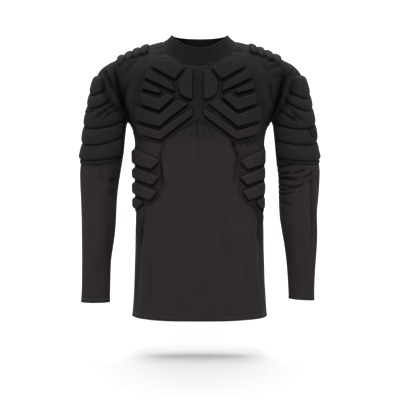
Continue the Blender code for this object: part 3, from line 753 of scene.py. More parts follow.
def armpit_shade(distance, points, spread):
    """How light the cloth is beside the armhole: almost black where the arm lies against the body."""
    z = points[..., 2]
    line = np.exp(-((distance / 4.4) ** 2)) * smoothstep(-66, -100, z) * smoothstep(-262, -225, z)
    soft = 0.55 * np.exp(-((distance / 16.0) ** 2))
    soft = soft * smoothstep(-100, -130, z) * smoothstep(-270, -220, z)
    # Below the pads the shadow widens into a wedge towards the armpit
    reach = 11 + spread * smoothstep(-155, -205, z)
    wedge = np.exp(-((distance / reach) ** 4)) * np.exp(-(((z + 180) / 40) ** 4))
    return (1 - 0.92 * line) * (1 - 0.97 * wedge) * (1 - soft)


def armpit_fold(distance, points):
    """How far the cloth sinks into the fold along the armhole. Both pieces move alike, so it stays shut."""
    along = np.exp(-(((points[..., 2] - FOLD_Z) / 52) ** 2))
    deep = FOLD_DEPTH * np.exp(-((distance / FOLD_REACH) ** 2)) * along
    still = np.zeros_like(deep)
    return np.stack([still, -deep * np.clip(points[..., 1] / 30, -1, 1), still], -1)


def soft_noise(points, size, seed):
    """Calm, repeatable unevenness from -1 to 1, with lumps of about the given size in millimetres."""
    rng = np.random.default_rng(seed)
    total = np.zeros(points.shape[:-1])
    for _ in range(7):
        direction = unit(rng.normal(size=3)) * 2 * math.pi / (size * rng.uniform(0.7, 1.6))
        total += np.sin(points @ direction + rng.uniform(0, 6.3))
    return total / 7 * 1.8


print("cloth helpers ready; skin", SKIN, "mm")

# %% [markdown]
# ## The front
#
# The front hangs from the shoulder seams and the neckband. Below the middle of the chest pads the cloth
# splays in narrow upright pleats. Above the left rib panel it gathers in three short ones. Lower down long
# shallow folds run to the hem.

# %% Front
# A fold is from_x, from_z, to_x, to_z, reach and depth, all in millimetres
FRONT_FOLDS = (
    (-146, -440, -152, -660, 13, 3.0),
    (-128, -470, -132, -640, 12, -2.0),
    (143, -450, 150, -610, 13, 3.0),
    (120, -430, 134, -560, 12, -2.2),
    (86, -268, 100, -330, 12, 3.2),
    (2, -212, -6, -262, 13, 2.6),
)
BACK_FOLDS = (
    (-138, -300, -120, -520, 14, 3.2),
    (130, -320, 142, -560, 14, 3.0),
    (-40, -420, -60, -640, 15, -2.2),
    (52, -470, 38, -600, 15, 2.4),
)
LEFT_SLEEVE_FOLDS = (
    (190, -344, 252, -352, 11, 4.0),
    (196, -372, 246, -362, 10, 3.4),
    (262, -338, 292, -318, 10, -2.4),
    (232, -110, 216, -140, 10, 3.0),
)
RIGHT_SLEEVE_FOLDS = (
    (196, -360, 250, -350, 12, 2.6),
    (214, -420, 240, -520, 12, -1.8),
    (232, -108, 214, -140, 10, 3.0),
)


def folded(points, normals, folds):
    """Points moved in along their normals where a fold runs. Each fold fades out at its ends."""
    depth = np.zeros(points.shape[:-1])
    for x0, z0, x1, z1, reach, deep in folds:
        length = math.hypot(x1 - x0, z1 - z0)
        dx, dz = (x1 - x0) / length, (z1 - z0) / length
        along = (points[..., 0] - x0) * dx + (points[..., 2] - z0) * dz
        off = (points[..., 0] - x0) * dz - (points[..., 2] - z0) * dx
        starts = smoothstep(-0.15 * length, 0.25 * length, along)
        stops = smoothstep(1.15 * length, 0.75 * length, along)
        depth += deep * np.exp(-((off / reach) ** 2)) * starts * stops
    return points - normals * depth[..., None]


FRONT_CREASES = (
    (-3, -203, -8, -262, 2, 4.5, 1.6),
    (4, -206, 8, -270, -3, 4.0, 1.3),
    (-12, -214, -26, -280, 3, 5.0, 1.1),
    (14, -216, 30, -270, -3, 4.5, 1.0),
    (-2, -240, -4, -330, -4, 7.0, 0.8),
    (108, -247, 122, -272, 2, 3.2, 1.8),
    (119, -246, 134, -270, 2, 3.2, 1.7),
    (130, -244, 143, -264, 2, 3.0, 1.4),
    (76, -240, 100, -306, 4, 6.0, 2.0),
    (96, -250, 92, -300, -3, 5.0, 1.0),
    (-84, -252, -98, -300, -3, 6.0, 1.2),
    (-96, -286, -84, -380, 5, 7.0, 1.6),
    (-88, -300, -74, -400, -4, 6.0, -0.7),
    (94, -300, 84, -380, 4, 6.0, 1.2),
    (128, -408, 156, -474, -4, 6.0, 1.8),
    (118, -414, 146, -500, -4, 7.0, 1.0),
    (-132, -418, -140, -520, 5, 8.0, 1.4),
    (-150, -430, -152, -640, -5, 9.0, 1.2),
    (-138, -470, -136, -660, 5, 8.0, -1.0),
    (-120, -520, -112, -670, 4, 12.0, 0.9),
    (150, -440, 152, -660, 5, 8.0, 1.3),
    (139, -470, 144, -650, -4, 7.0, -0.8),
    (165, -62, 202, -56, -3, 5.0, 1.3),
    (168, -80, 204, -73, -3, 5.0, 1.2),
    (172, -106, 200, -96, -3, 5.0, 1.2),
    (122, -500, 112, -660, 4, 12.0, 0.8),
    (-60, -430, -50, -620, 7, 16.0, 0.7),
    (46, -380, 60, -600, -7, 18.0, 0.7),
    (-20, -440, -8, -640, 5, 18.0, 0.6),
    (34, -26, 110, -30, 3, 4.0, 1.0),
    (-36, -24, -112, -30, 3, 4.0, 1.0),
    (48, -36, 118, -40, -3, 4.5, 0.8),
    (-50, -36, -116, -42, -3, 4.0, 0.7),
    (150, -58, 184, -96, 6, 8.0, 1.2),
    (-150, -58, -184, -100, 6, 8.0, 1.4),
    (172, -110, 184, -176, 5, 7.0, 1.6),
    (-172, -112, -184, -180, 5, 7.0, 1.6),
    (160, -196, 176, -232, 4, 6.0, 1.2),
    (-160, -198, -176, -236, 4, 6.0, 1.4),
)


HEM_FOLD = 8.8


def panel_shell(side, columns, lower_rows, upper_rows, creases, folds):
    """A front or back shell with its seams turned in and its hem folded up, and how light each point is."""
    outside = panel_grid(side, columns, lower_rows, upper_rows)
    normals = grid_normals(outside) * -side
    wrinkled = creased(outside, normals, creases)
    # The back's creases are wide, so they are shaded less
    shade = crease_shade(outside, wrinkled, normals, 0.6 if side < 0 else 0.25)
    outside = folded(wrinkled, normals, folds)
    # Distance to the nearest seam, along the grid
    across = np.linalg.norm(np.diff(outside, axis=1), axis=-1)
    from_left = np.concatenate([np.zeros((len(outside), 1)), np.cumsum(across, axis=1)], axis=1)
    to_side = np.minimum(from_left, from_left[:, -1:] - from_left)
    up = np.linalg.norm(np.diff(outside, axis=0), axis=-1)
    from_hem = np.concatenate([np.zeros((1, outside.shape[1])), np.cumsum(up, axis=0)], axis=0)
    to_top = from_hem[-1:] - from_hem
    turned = seam_valley(to_side) + seam_valley(to_top)
    # The hem is folded up once and stitched: it is thicker below the stitches and puckers along them
    hem = folded_edge(from_hem, HEM_FOLD)
    pucker = soft_noise(outside, 26, 3) * 0.5 * np.exp(-(((from_hem - HEM_FOLD) / 9) ** 2))
    calm = soft_noise(outside * np.array([1, 1, 0.45]), 110, 11 + side) * 2.2
    calm = calm + soft_noise(outside * np.array([1, 1, 0.5]), 42, 14 + side) * 0.75
    calm *= smoothstep(0, 30, to_side) * smoothstep(0, 40, to_top)
    lift = hem + pucker - turned + calm
    shade = shade * armpit_shade(to_side, outside, 32.0)
    outside = outside + normals * lift[..., None] + armpit_fold(to_side, outside)
    return outside, np.concatenate([shade.reshape(-1)] * 2)


front_points, front_shade = panel_shell(
    -1, columns=144, lower_rows=150, upper_rows=84, creases=FRONT_CREASES, folds=FRONT_FOLDS
)
front = cloth_mesh("front_jersey", front_points, jersey, inward=-grid_normals(front_points))
set_relief(front, front_shade)
print("front:", len(front.data.polygons), "faces")

# %% [markdown]
# ## The back
#
# Nothing shows the back in the photo. It is cut in one piece and lies smooth over the shoulder blades, with
# a few shallow folds at the waist and the armholes, like those of the front.

# %% Back
BACK_CREASES = (
    (-150, -240, -110, -330, 5, 8.0, 1.6),
    (150, -250, 118, -350, -5, 8.0, 1.4),
    (-120, -340, -60, -420, 6, 10.0, 1.2),
    (110, -360, 50, -430, -6, 10.0, 1.1),
    (-60, -400, 40, -416, 5, 9.0, 1.1),
    (-30, -440, 70, -452, -5, 10.0, 0.9),
    (-150, -430, -148, -650, -5, 9.0, 2.0),
    (148, -440, 152, -640, 5, 9.0, 2.0),
    (-100, -520, -90, -660, 5, 13.0, 1.0),
    (84, -500, 96, -660, -5, 14.0, 1.0),
    (-176, -110, -160, -190, 5, 7.0, 1.6),
    (174, -112, 160, -184, -5, 7.0, 1.6),
    (-40, -30, -120, -44, 4, 8.0, 0.8),
    (40, -30, 124, -48, -4, 8.0, 0.8),
    (-10, -90, -14, -220, 5, 16.0, 0.7),
)
back_points, back_shade = panel_shell(
    1, columns=104, lower_rows=104, upper_rows=64, creases=BACK_CREASES, folds=BACK_FOLDS
)
back = cloth_mesh("back_jersey", back_points, jersey, inward=grid_normals(back_points))
set_relief(back, back_shade)
print("back:", len(back.data.polygons), "faces")

# %% [markdown]
# ## The sleeves
#
# A sleeve is a row of ovals that fans round the armpit and then runs down to the wrist. Below the pad the
# right arm's cloth is smooth, and the left arm's gathers in short creases that spread from the inside of the
# elbow. The cuffs are turned up and stitched, as the hem is.

# %% Sleeves
LEFT_SLEEVE_CREASES = (
    (186, -318, 240, -304, 2, 3.4, 1.8),
    (188, -330, 226, -331, 2, 3.2, 2.0),
    (226, -336, 266, -324, -2, 3.6, 1.8),
    (190, -343, 244, -353, -3, 3.8, 2.2),
    (192, -356, 230, -368, 2, 3.4, 1.7),
    (194, -370, 218, -372, 1, 3.2, 2.0),
    (216, -370, 264, -354, 3, 3.8, 2.0),
    (196, -384, 238, -376, 2, 3.6, 1.6),
    (198, -398, 228, -412, 3, 5.0, 1.0),
    (250, -346, 292, -316, 3, 3.6, 1.6),
    (262, -356, 294, -344, 3, 5.0, 0.8),
    (281, -316, 284, -580, -3, 5.0, -1.3),
    (272, -322, 275, -540, -3, 4.5, 1.2),
    (218, -440, 232, -600, 4, 9.0, 0.8),
    (246, -430, 256, -620, 4, 10.0, 0.6),
    (224, -84, 208, -128, 5, 6.0, 2.4),
    (232, -72, 226, -112, 4, 5.0, 1.4),
    (214, -92, 196, -150, 5, 6.0, 1.8),
    (204, -130, 190, -186, 4, 6.0, 1.8),
)
RIGHT_SLEEVE_CREASES = (
    (236, -76, 216, -112, -4, 5.0, 2.2),
    (228, -80, 206, -128, -4, 6.0, 2.4),
    (218, -104, 200, -140, -4, 5.0, 1.8),
    (212, -84, 196, -126, 4, 6.0, 1.6),
    (204, -130, 190, -188, 4, 6.0, 1.8),
    (210, -320, 224, -420, 4, 9.0, 0.9),
    (236, -318, 240, -400, -4, 8.0, 0.7),
    (262, -318, 266, -440, 4, 9.0, 0.7),
    (222, -430, 238, -590, 4, 10.0, 0.8),
    (272, -430, 270, -600, -4, 10.0, -0.6),
    (246, -470, 256, -630, 4, 9.0, 0.6),
    (198, -344, 226, -350, 2, 6.0, 0.9),
    (199, -372, 222, -380, 2, 6.0, 0.8),
)
HIDDEN_SLEEVE_CREASES = (
    (292, -330, 240, -350, 4, 6.0, 1.6),
    (292, -372, 236, -366, -4, 6.0, 1.4),
    (288, -400, 244, -392, 4, 8.0, 1.0),
    (232, -440, 240, -600, 5, 11.0, 0.9),
    (266, -420, 268, -590, -5, 10.0, -0.7),
    (230, -90, 208, -150, -5, 7.0, 1.8),
    (206, -130, 192, -190, 4, 6.0, 1.6),
)


CUFF_FOLD, WRIST_SHIFT = 8.5, 3.0


def sleeve_shell(table, turn, creases, folds):
    """A sleeve's outer points, cuff first, and how light each is. The right one is mirrored at the end."""
    point, length = sleeve_reader(table)
    down = np.concatenate([np.linspace(0, 320, 120), np.linspace(320, length, 130)[1:]])[::-1]
    angle = -np.linspace(0, 2 * math.pi, 84, endpoint=False)
    outside = point(down[:, None], angle[None, :])
    normals = grid_normals(outside, closed=True)
    face = smoothstep(14, -14, outside[..., 1:2] - outside[..., 1:2].mean(1, keepdims=True))
    front_side = creased(outside, normals, creases)
    back_side = creased(outside, normals, HIDDEN_SLEEVE_CREASES)
    shade = crease_shade(outside, front_side * face + back_side * (1 - face), normals)
    outside = folded(front_side, normals, folds) * face + back_side * (1 - face)
    shade = shade * armpit_shade(down[:, None], outside, 2.0)
    from_cuff = (length - down)[:, None]
    hem = folded_edge(from_cuff, CUFF_FOLD)
    pucker = soft_noise(outside, 20, 7) * 0.35 * np.exp(-(((from_cuff - CUFF_FOLD) / 8) ** 2))
    calm = soft_noise(outside * np.array([1, 1, 0.4]), 70, 21 + turn) * 1.1 * smoothstep(0, 30, down)[:, None]
    lift = hem + pucker + calm - seam_valley(down)[:, None]
    outside = outside + normals * lift[..., None] + armpit_fold(down[:, None], outside)
    # The wrists hang a little closer to the body than the sleeve's own line
    outside[..., 0] -= WRIST_SHIFT * smoothstep(-480, -690, outside[..., 2])
    return outside * np.array([turn, 1, 1]), np.concatenate([shade.reshape(-1)] * 2)


sleeves, sleeve_points = {}, {}
for side_name, table, turn, creases, folds in (
    ("left", LEFT_SLEEVE, 1, LEFT_SLEEVE_CREASES, LEFT_SLEEVE_FOLDS),
    ("right", RIGHT_SLEEVE, -1, RIGHT_SLEEVE_CREASES, RIGHT_SLEEVE_FOLDS),
):
    shape, shade = sleeve_shell(table, turn, creases, folds)
    sleeve_points[side_name] = shape
    inward = -grid_normals(shape, closed=True) * turn
    made = cloth_mesh(f"sleeve_{side_name}_jersey", shape, jersey, closed=True, inward=inward)
    sleeves[side_name] = set_relief(made, shade)
print("sleeves:", [len(s.data.polygons) for s in sleeves.values()], "faces")

# %% [markdown]
# ## The neckband
#
# The neckband is a wide strip of doubled jersey: about 38 mm at the front, half of that at the sides. It
# stands up by itself, so it is a ring between the neck seam and a top edge that dips in front, hollowed a
# little between the two. Its top edge is a fold, so it is round.

# %% Neckband
BAND_SKIN, BAND_HOLLOW, BAND_WIDTH = 1.5, 2.0, 34.0
band_turn = np.linspace(-math.pi, math.pi, 144, endpoint=False)
band_low, band_high = neck_seam(band_turn), band_top(band_turn)
band_share = np.linspace(0, 1, 19)[:, None, None]
band_points = band_low + (band_high - band_low) * band_share
band_out = grid_normals(band_points, closed=True)
band_hollow = BAND_HOLLOW * (4 * band_share * (1 - band_share))
band_turned = seam_valley(band_share * BAND_WIDTH, 0.9, 2.4) + 0.6 * smoothstep(0.93, 1.0, band_share)
band_stitch = seam_valley((1 - band_share) * BAND_WIDTH - 7.0, 0.3, 1.2)
band_calm = soft_noise(band_points, 50, 5)[..., None] * 0.35 * np.sin(math.pi * band_share)
band_points = band_points - band_out * (band_hollow + band_turned + band_stitch - band_calm)
neckband = cloth_mesh("neckband_jersey", band_points, band_jersey, closed=True, thickness=BAND_SKIN)
print("neckband:", len(neckband.data.polygons), "faces")

# %% [markdown]
# ## Pads as a height over the cloth
#
# A moulded foam pad is glued under a thin cover, so what is seen is one surface that rises over each block
# and sinks in the channels between them. That is a height over the cloth: low on the backing, steep at a
# block's edge, flat and barely domed on top. The height is worked out from the distance to each block's
# outline. A fine grid is laid on the cloth, and its points nearest an outline are moved onto it, so that
# every edge is crisp. The cover's colour carries painted shade: a dark line round each block, blackest under
# the block's lower edge as a painted shadow, and darker channels. A painted highlight makes the cover a
# little lighter just inside each edge.


# %% Outlines and distances
def rounded(outline, radius, steps=4):
    """An outline with its corners rounded off."""
    out = []
    corners = np.array(outline, float)
    for k in range(len(corners)):
        before, here, after = corners[k - 1], corners[k], corners[(k + 1) % len(corners)]
        a, b = before - here, after - here
        reach = min(radius, np.linalg.norm(a) * 0.42, np.linalg.norm(b) * 0.42)
        start, end = here + unit(a) * reach, here + unit(b) * reach
        for t in np.linspace(0, 1, steps + 1):
            out.append(start * (1 - t) ** 2 + 2 * here * t * (1 - t) + end * t**2)
    return np.array(out)


def outline_distance(points, outline):
    """Signed distance to an outline, more than 0 inside it, and the nearest point on it."""
    start, end = outline, np.roll(outline, -1, 0)
    best = np.full(len(points), 1e9)
    nearest = np.zeros_like(points)
    inside = np.zeros(len(points), bool)
    for a, b in zip(start, end):
        line = b - a
        size = line @ line
        if size < 1e-9:
            continue
        t = np.clip((points - a) @ line / size, 0, 1)
        spot = a + t[:, None] * line
        far = np.linalg.norm(points - spot, axis=1)
        closer = far < best
        best = np.where(closer, far, best)
        nearest = np.where(closer[:, None], spot, nearest)
        crosses = (a[1] > points[:, 1]) != (b[1] > points[:, 1])
        if b[1] != a[1]:
            at = a[0] + (points[:, 1] - a[1]) * (b[0] - a[0]) / (b[1] - a[1])
            inside ^= crosses & (points[:, 0] < at)
    return np.where(inside, best, -best), nearest


def fitted_grid(outline, others, cell):
    """Flat points and faces that fill an outline, with points moved onto it and onto the other outlines."""
    low, high = outline.min(0) - cell, outline.max(0) + cell
    xs, ys = np.arange(low[0], high[0] + cell, cell), np.arange(low[1], high[1] + cell, cell)
    grid = np.stack(np.meshgrid(xs, ys), -1)
    shape = grid.shape[:2]
    points = grid.reshape(-1, 2)
    distance, nearest = outline_distance(points, outline)
    keep = distance > -0.5 * cell
    moved = points.copy()
    for other in others:
        far, spot = outline_distance(points, other)
        close = np.abs(far) < 0.48 * cell
        moved[close] = spot[close]
    edge = np.abs(distance) < 0.5 * cell
    moved[edge] = nearest[edge]
    index = np.arange(len(points)).reshape(shape)
    around = index[:-1, :-1], index[:-1, 1:], index[1:, 1:], index[1:, :-1]
    quads = np.stack(around, -1).reshape(-1, 4)
    counts = keep[quads].sum(1)
    faces = [list(map(int, q)) for q in quads[counts == 4]]
    faces += [[int(i) for i in q if keep[i]] for q in quads[counts == 3]]
    used = np.unique(np.concatenate([np.array(f) for f in faces]))
    renumber = np.full(len(points), -1)
    renumber[used] = np.arange(len(used))
    return moved[used], [[int(renumber[i]) for i in f] for f in faces]


def cover_height(flat, rim, blocks, top, edge, rise, drop):
    """The cover's height over the body's cloth. Towards the side its edges get rounder, and its blocks lower
    by drop."""
    height = LAYER_GAP + 0.2 + rise * smoothstep(0, 5.0, rim)
    edge = edge + 6.5 * smoothstep(160, 205, np.abs(flat[:, 0]))
    top = top - drop * smoothstep(140, 195, np.abs(flat[:, 0]))
    for block in blocks:
        inside, _ = outline_distance(flat, block)
        up = 1 - (1 - np.clip(inside / edge, 0, 1)) ** 2.2
        crown = 0.5 * (1 - np.exp(-np.clip(inside, 0, 40) / 9))
        # Cloth is drawn down a little beside a block
        beside = 0.9 * np.exp(-((np.clip(-inside, 0, 50) / 1.8) ** 2)) * (inside < 0)
        height = np.where(inside > 0, height + (top - 0.5 - height) * up + crown, height - beside * (rim > 3))
    return height


def cover_relief(flat, blocks, height, rise):
    """The cover's painted shade: a dark line round each block, a painted shadow under its lower edge and
    darker channels, with a painted highlight along the edge inside each block.
    """
    relief, painted_edge_highlight = np.ones(len(flat)), np.zeros(len(flat))
    for block in blocks:
        inside, _ = outline_distance(flat, block)
        raised, _ = outline_distance(flat + np.array([0, 2.2]), block)
        # Painted shade in a thin line round each block, and a painted shadow just under its lower edge.
        line = 0.6 * np.exp(-(((inside + 0.7) / 1.2) ** 2))
        under = smoothstep(-2.0, 0.4, raised) * smoothstep(0.9, -0.3, inside)
        relief = np.minimum(relief, 1 - np.maximum(line, under))
        # A painted highlight just inside each block's edge.
        painted_edge_highlight = np.maximum(painted_edge_highlight, np.exp(-(((inside - 2.2) / 1.3) ** 2)))
    # Painted shade: the backing and the channels are darker than the blocks' tops.
    stands = smoothstep(LAYER_GAP + rise + 0.5, LAYER_GAP + rise + 3.0, height)
    return relief * (0.62 + 0.18 * stands + 0.2 * painted_edge_highlight)


def padded_cover(name, outline, blocks, top, edge, cell, rise, finish, seed, drop=0.0):
    """One cover over its foam blocks, laid on the body's cloth."""
    outline = rounded(outline, 8.0)
    blocks = [rounded(block, 2.4) for block in blocks]
    flat, faces = fitted_grid(outline, blocks, cell)
    rim, _ = outline_distance(flat, outline)
    height = cover_height(flat, rim, blocks, top, edge, rise, drop)
    rough = np.column_stack([flat, np.zeros(len(flat))])
    uneven = soft_noise(rough, 30, seed) * 0.3 + soft_noise(rough, 11, seed + 1) * 0.12
    height = height + uneven * smoothstep(1, 6, rim)
    outer = on_body(flat[:, 0], flat[:, 1], height)
    inner = on_body(flat[:, 0], flat[:, 1], np.full(len(flat), LAYER_GAP))
    count = len(flat)
    # An edge that runs one way only is on the border
    edges = dict.fromkeys((a, b) for face in faces for a, b in zip(face, face[1:] + face[:1]))
    shell = faces + [[i + count for i in face[::-1]] for face in faces]
    shell += [[b, a, a + count, b + count] for a, b in edges if (b, a) not in edges]
    mesh = bpy.data.meshes.new(name)
    mesh.from_pydata((np.concatenate([outer, inner]) * MM).tolist(), [], shell)
    layer = mesh.uv_layers.new(name="cloth")
    corners = np.empty(len(mesh.loops), int)
    mesh.loops.foreach_get("vertex_index", corners)
    layer.data.foreach_set("uv", (flat[corners % count] / 10).reshape(-1))
    relief = cover_relief(flat, blocks, height, rise)
    return set_relief(add_piece(name, mesh, finish), np.concatenate([relief, relief]))


# %% [markdown]
# ## Chest pads
#
# Seven blocks on each side spread from the breastbone like the bones of a fan. They are one moulded set on
# one backing, so they are one piece here, on both sides of the middle line.

# %% Chest pads
CHEST_MIDDLE = -3.4
CHEST_BACKING = (
    (0, -78), (19, -79), (34, -72), (58, -55), (73, -50.5), (92, -51), (111, -62), (121, -72.5), (133, -87.5),
    (146, -109), (157, -133), (168, -165), (178, -197), (181, -220), (168, -243), (92, -263), (72, -252),
    (47.5, -234), (19, -219), (0, -204),
)
CHEST_PADS = {
    "inner": ((13.4, -89), (27, -91), (47, -117.5), (47.5, -127), (42.5, -148), (24, -158.5), (13.4, -159)),
    "collar": ((111.5, -80.7), (102, -70), (88, -64), (71, -62), (60.5, -64.6), (32, -84.7), (55, -113)),
    "upper": ((120, -86), (113.5, -88.6), (63, -119), (57, -131.5), (55.5, -142), (129, -106)),
    "outer": ((131, -113.7), (89, -134.5), (88, -141.3), (93.5, -145), (137, -131)),
    "middle": ((138.5, -140), (93, -155.5), (72, -144.5), (55.5, -153), (91.5, -184), (139, -166)),
    "lower": ((152, -169.5), (93, -192.5), (51, -160.7), (41.5, -160), (23, -169.6), (93, -222), (156, -202)),
    "bottom": ((156, -211), (92, -231.5), (13, -178.5), (13, -197), (89.5, -253), (144, -239), (155, -229.5)),
}


def mirrored(outline, turn, middle=0.0):
    return [(middle + turn * far, up) for far, up in outline]


def whole(half, middle):
    """A closed outline from the half of it that starts and ends on the middle line."""
    other = [(-far, up) for far, up in reversed(half) if far != 0]
    return [(middle + far, up) for far, up in list(half) + other]


chest_blocks = [mirrored(block, turn, CHEST_MIDDLE) for turn in (1, -1) for block in CHEST_PADS.values()]
chest = padded_cover(
    "chest_pads", whole(CHEST_BACKING, CHEST_MIDDLE), chest_blocks, top=CHEST_PAD_TOP, edge=1.7, cell=1.5,
    rise=1.0, finish=pad_cover, seed=31,
)
print("chest pads:", len(chest_blocks), "blocks,", len(chest.data.polygons), "faces")

# %% [markdown]
# ## Rib pads
#
# Four blocks wrap round each side below the chest. Their front ends are cut at a slant. They go on round the
# side, where the sleeve hides them, and there their edges are rounder and they stand lower, the wearer's left
# ones most of all.

# %% Rib pads
RIB_BACKING = (
    (131.5, -280), (99, -290.5), (95, -301.5), (95, -373.5), (99, -389), (118, -405), (133, -412),
    (150, -411), (178, -425), (217, -427.5), (249, -427.5), (249, -262), (217, -263),
)
RIB_BLOCKS = (
    ((128, -288.5), (99, -301), (98, -307), (115.5, -324), (128, -320.5), (172, -310), (245, -309),
     (245, -268), (178, -271)),
    ((133.5, -328), (99, -341), (99, -346.5), (115, -362), (129.5, -357), (172, -346), (245, -345),
     (245, -315), (174, -316)),
    ((148, -359), (106.5, -375), (105.5, -380.5), (117, -397), (127, -397), (172, -384), (245, -383.5),
     (245, -351), (174, -352)),
    ((150, -397), (142, -404), (160, -416.5), (178, -420), (245, -420), (245, -389.5), (181, -389.5)),
)
RIB_DROP = {"left": 6.0, "right": 1.0}
rib_pads = {}
for side_name, turn in (("left", 1), ("right", -1)):
    blocks = [mirrored(block, turn) for block in RIB_BLOCKS]
    rib_pads[side_name] = padded_cover(
        f"rib_pads_{side_name}", mirrored(RIB_BACKING, turn), blocks, top=RIB_HEIGHT, edge=3.0, cell=1.5,
        rise=0.8, finish=pad_cover, seed=41 + turn, drop=RIB_DROP[side_name],
    )
print("rib pads:", [len(p.data.polygons) for p in rib_pads.values()], "faces")

# %% [markdown]
# ## Arm and shoulder pads
#
# These are rows of ribs, not separate blocks: rolls of foam that lie across the arm like shingles, each
# fullest just above the groove below it. The grid's rows follow the grooves, so a groove stays narrow and
# sharp however it curves. The arm pads' cover is cooler than the others, from top to bottom. The two arms
# hang differently, so each pad has a table of its own.

# %% Arm pads
ARM_COLUMNS = ("outer", "halfway", "inner", "inner_angle")
LEFT_ARM_PAD = (
    (-86, -91, -96, 56),
    (-128, -149, -138, 90),
    (-162, -180, -159, 106),
    (-203, -225, -206, 146),
    (-248, -263, -247, 152),
    (-293, -302, -288, 158),
    (-303, -310, -298, 158),
)
RIGHT_ARM_PAD = (
    (-88, -91, -97, 54),
    (-127, -141, -133, 78),
    (-158, -175, -157, 100),
    (-209, -223, -197, 148),
    (-253, -263, -237, 152),
    (-293, -300, -284, 158),
    (-304, -311, -295, 158),
)
ARM_PAD_BACK_ANGLE = -50
ARM_RIB_HEIGHT, ARM_GROOVE, ARM_RIM, ARM_PAD_FOOT = 9.5, 3.0, 1.7, 1.5


def joined_ranges(*ranges):
    """Numbers through several ranges, each a start, an end and a count of steps."""
    parts = [np.linspace(start, end, steps + 1)[:-1] for start, end, steps in ranges]
    return np.concatenate(parts + [[ranges[-1][1]]])


def roll(place, low, high):
    """Height across a row of rolls. place counts the grooves, and a roll is fullest near its lower groove."""
    part = (place % 1.0) ** 1.12
    return low + (high - low) * (1 - np.abs(2 * part - 1) ** 3.2) ** 0.62


ARM_PAD_CREASES = {
    "left": (
        (184, -170, 250, -212, 3, 3.4, 2.4),
        (222, -180, 258, -206, 3, 3.0, 2.6),
        (198, -160, 236, -188, 2, 4.0, 0.9),
        (266, -219, 284, -248, 2, 3.0, 2.2),
        (274, -216, 290, -240, 2, 2.6, 1.6),
        (238, -66, 214, -112, 3, 4.0, 1.2),
        (190, -240, 230, -236, 3, 5.0, 0.6),
        (240, -276, 276, -270, 3, 6.0, 0.6),
    ),
    "right": (
        (186, -160, 262, -206, -5, 3.4, 2.6),
        (190, -176, 240, -206, -4, 3.6, 1.6),
        (258, -178, 288, -182, 2, 3.0, 1.6),
        (240, -106, 226, -140, 3, 4.0, 1.1),
        (200, -236, 240, -232, 3, 5.0, 0.6),
        (230, -272, 270, -268, 3, 6.0, 0.6),
    ),
}


def down_sleeve(point, length, angle, target):
    """How far down a sleeve each point of a grid lies, from its angle and its height in the front view."""
    down = np.linspace(0, length * 0.75, 400)
    levels = np.linspace(angle.min(), angle.max(), 160)
    heights = point(down[:, None], levels[None, :])[..., 2]
    at = np.empty_like(angle)
    for r in range(angle.shape[0]):
        for c in range(angle.shape[1]):
            k = np.clip(np.searchsorted(levels, angle[r, c]) - 1, 0, len(levels) - 2)
            t = (angle[r, c] - levels[k]) / (levels[k + 1] - levels[k])
            at[r, c] = np.interp(-target[r, c], -(heights[:, k] * (1 - t) + heights[:, k + 1] * t), down)
    return at


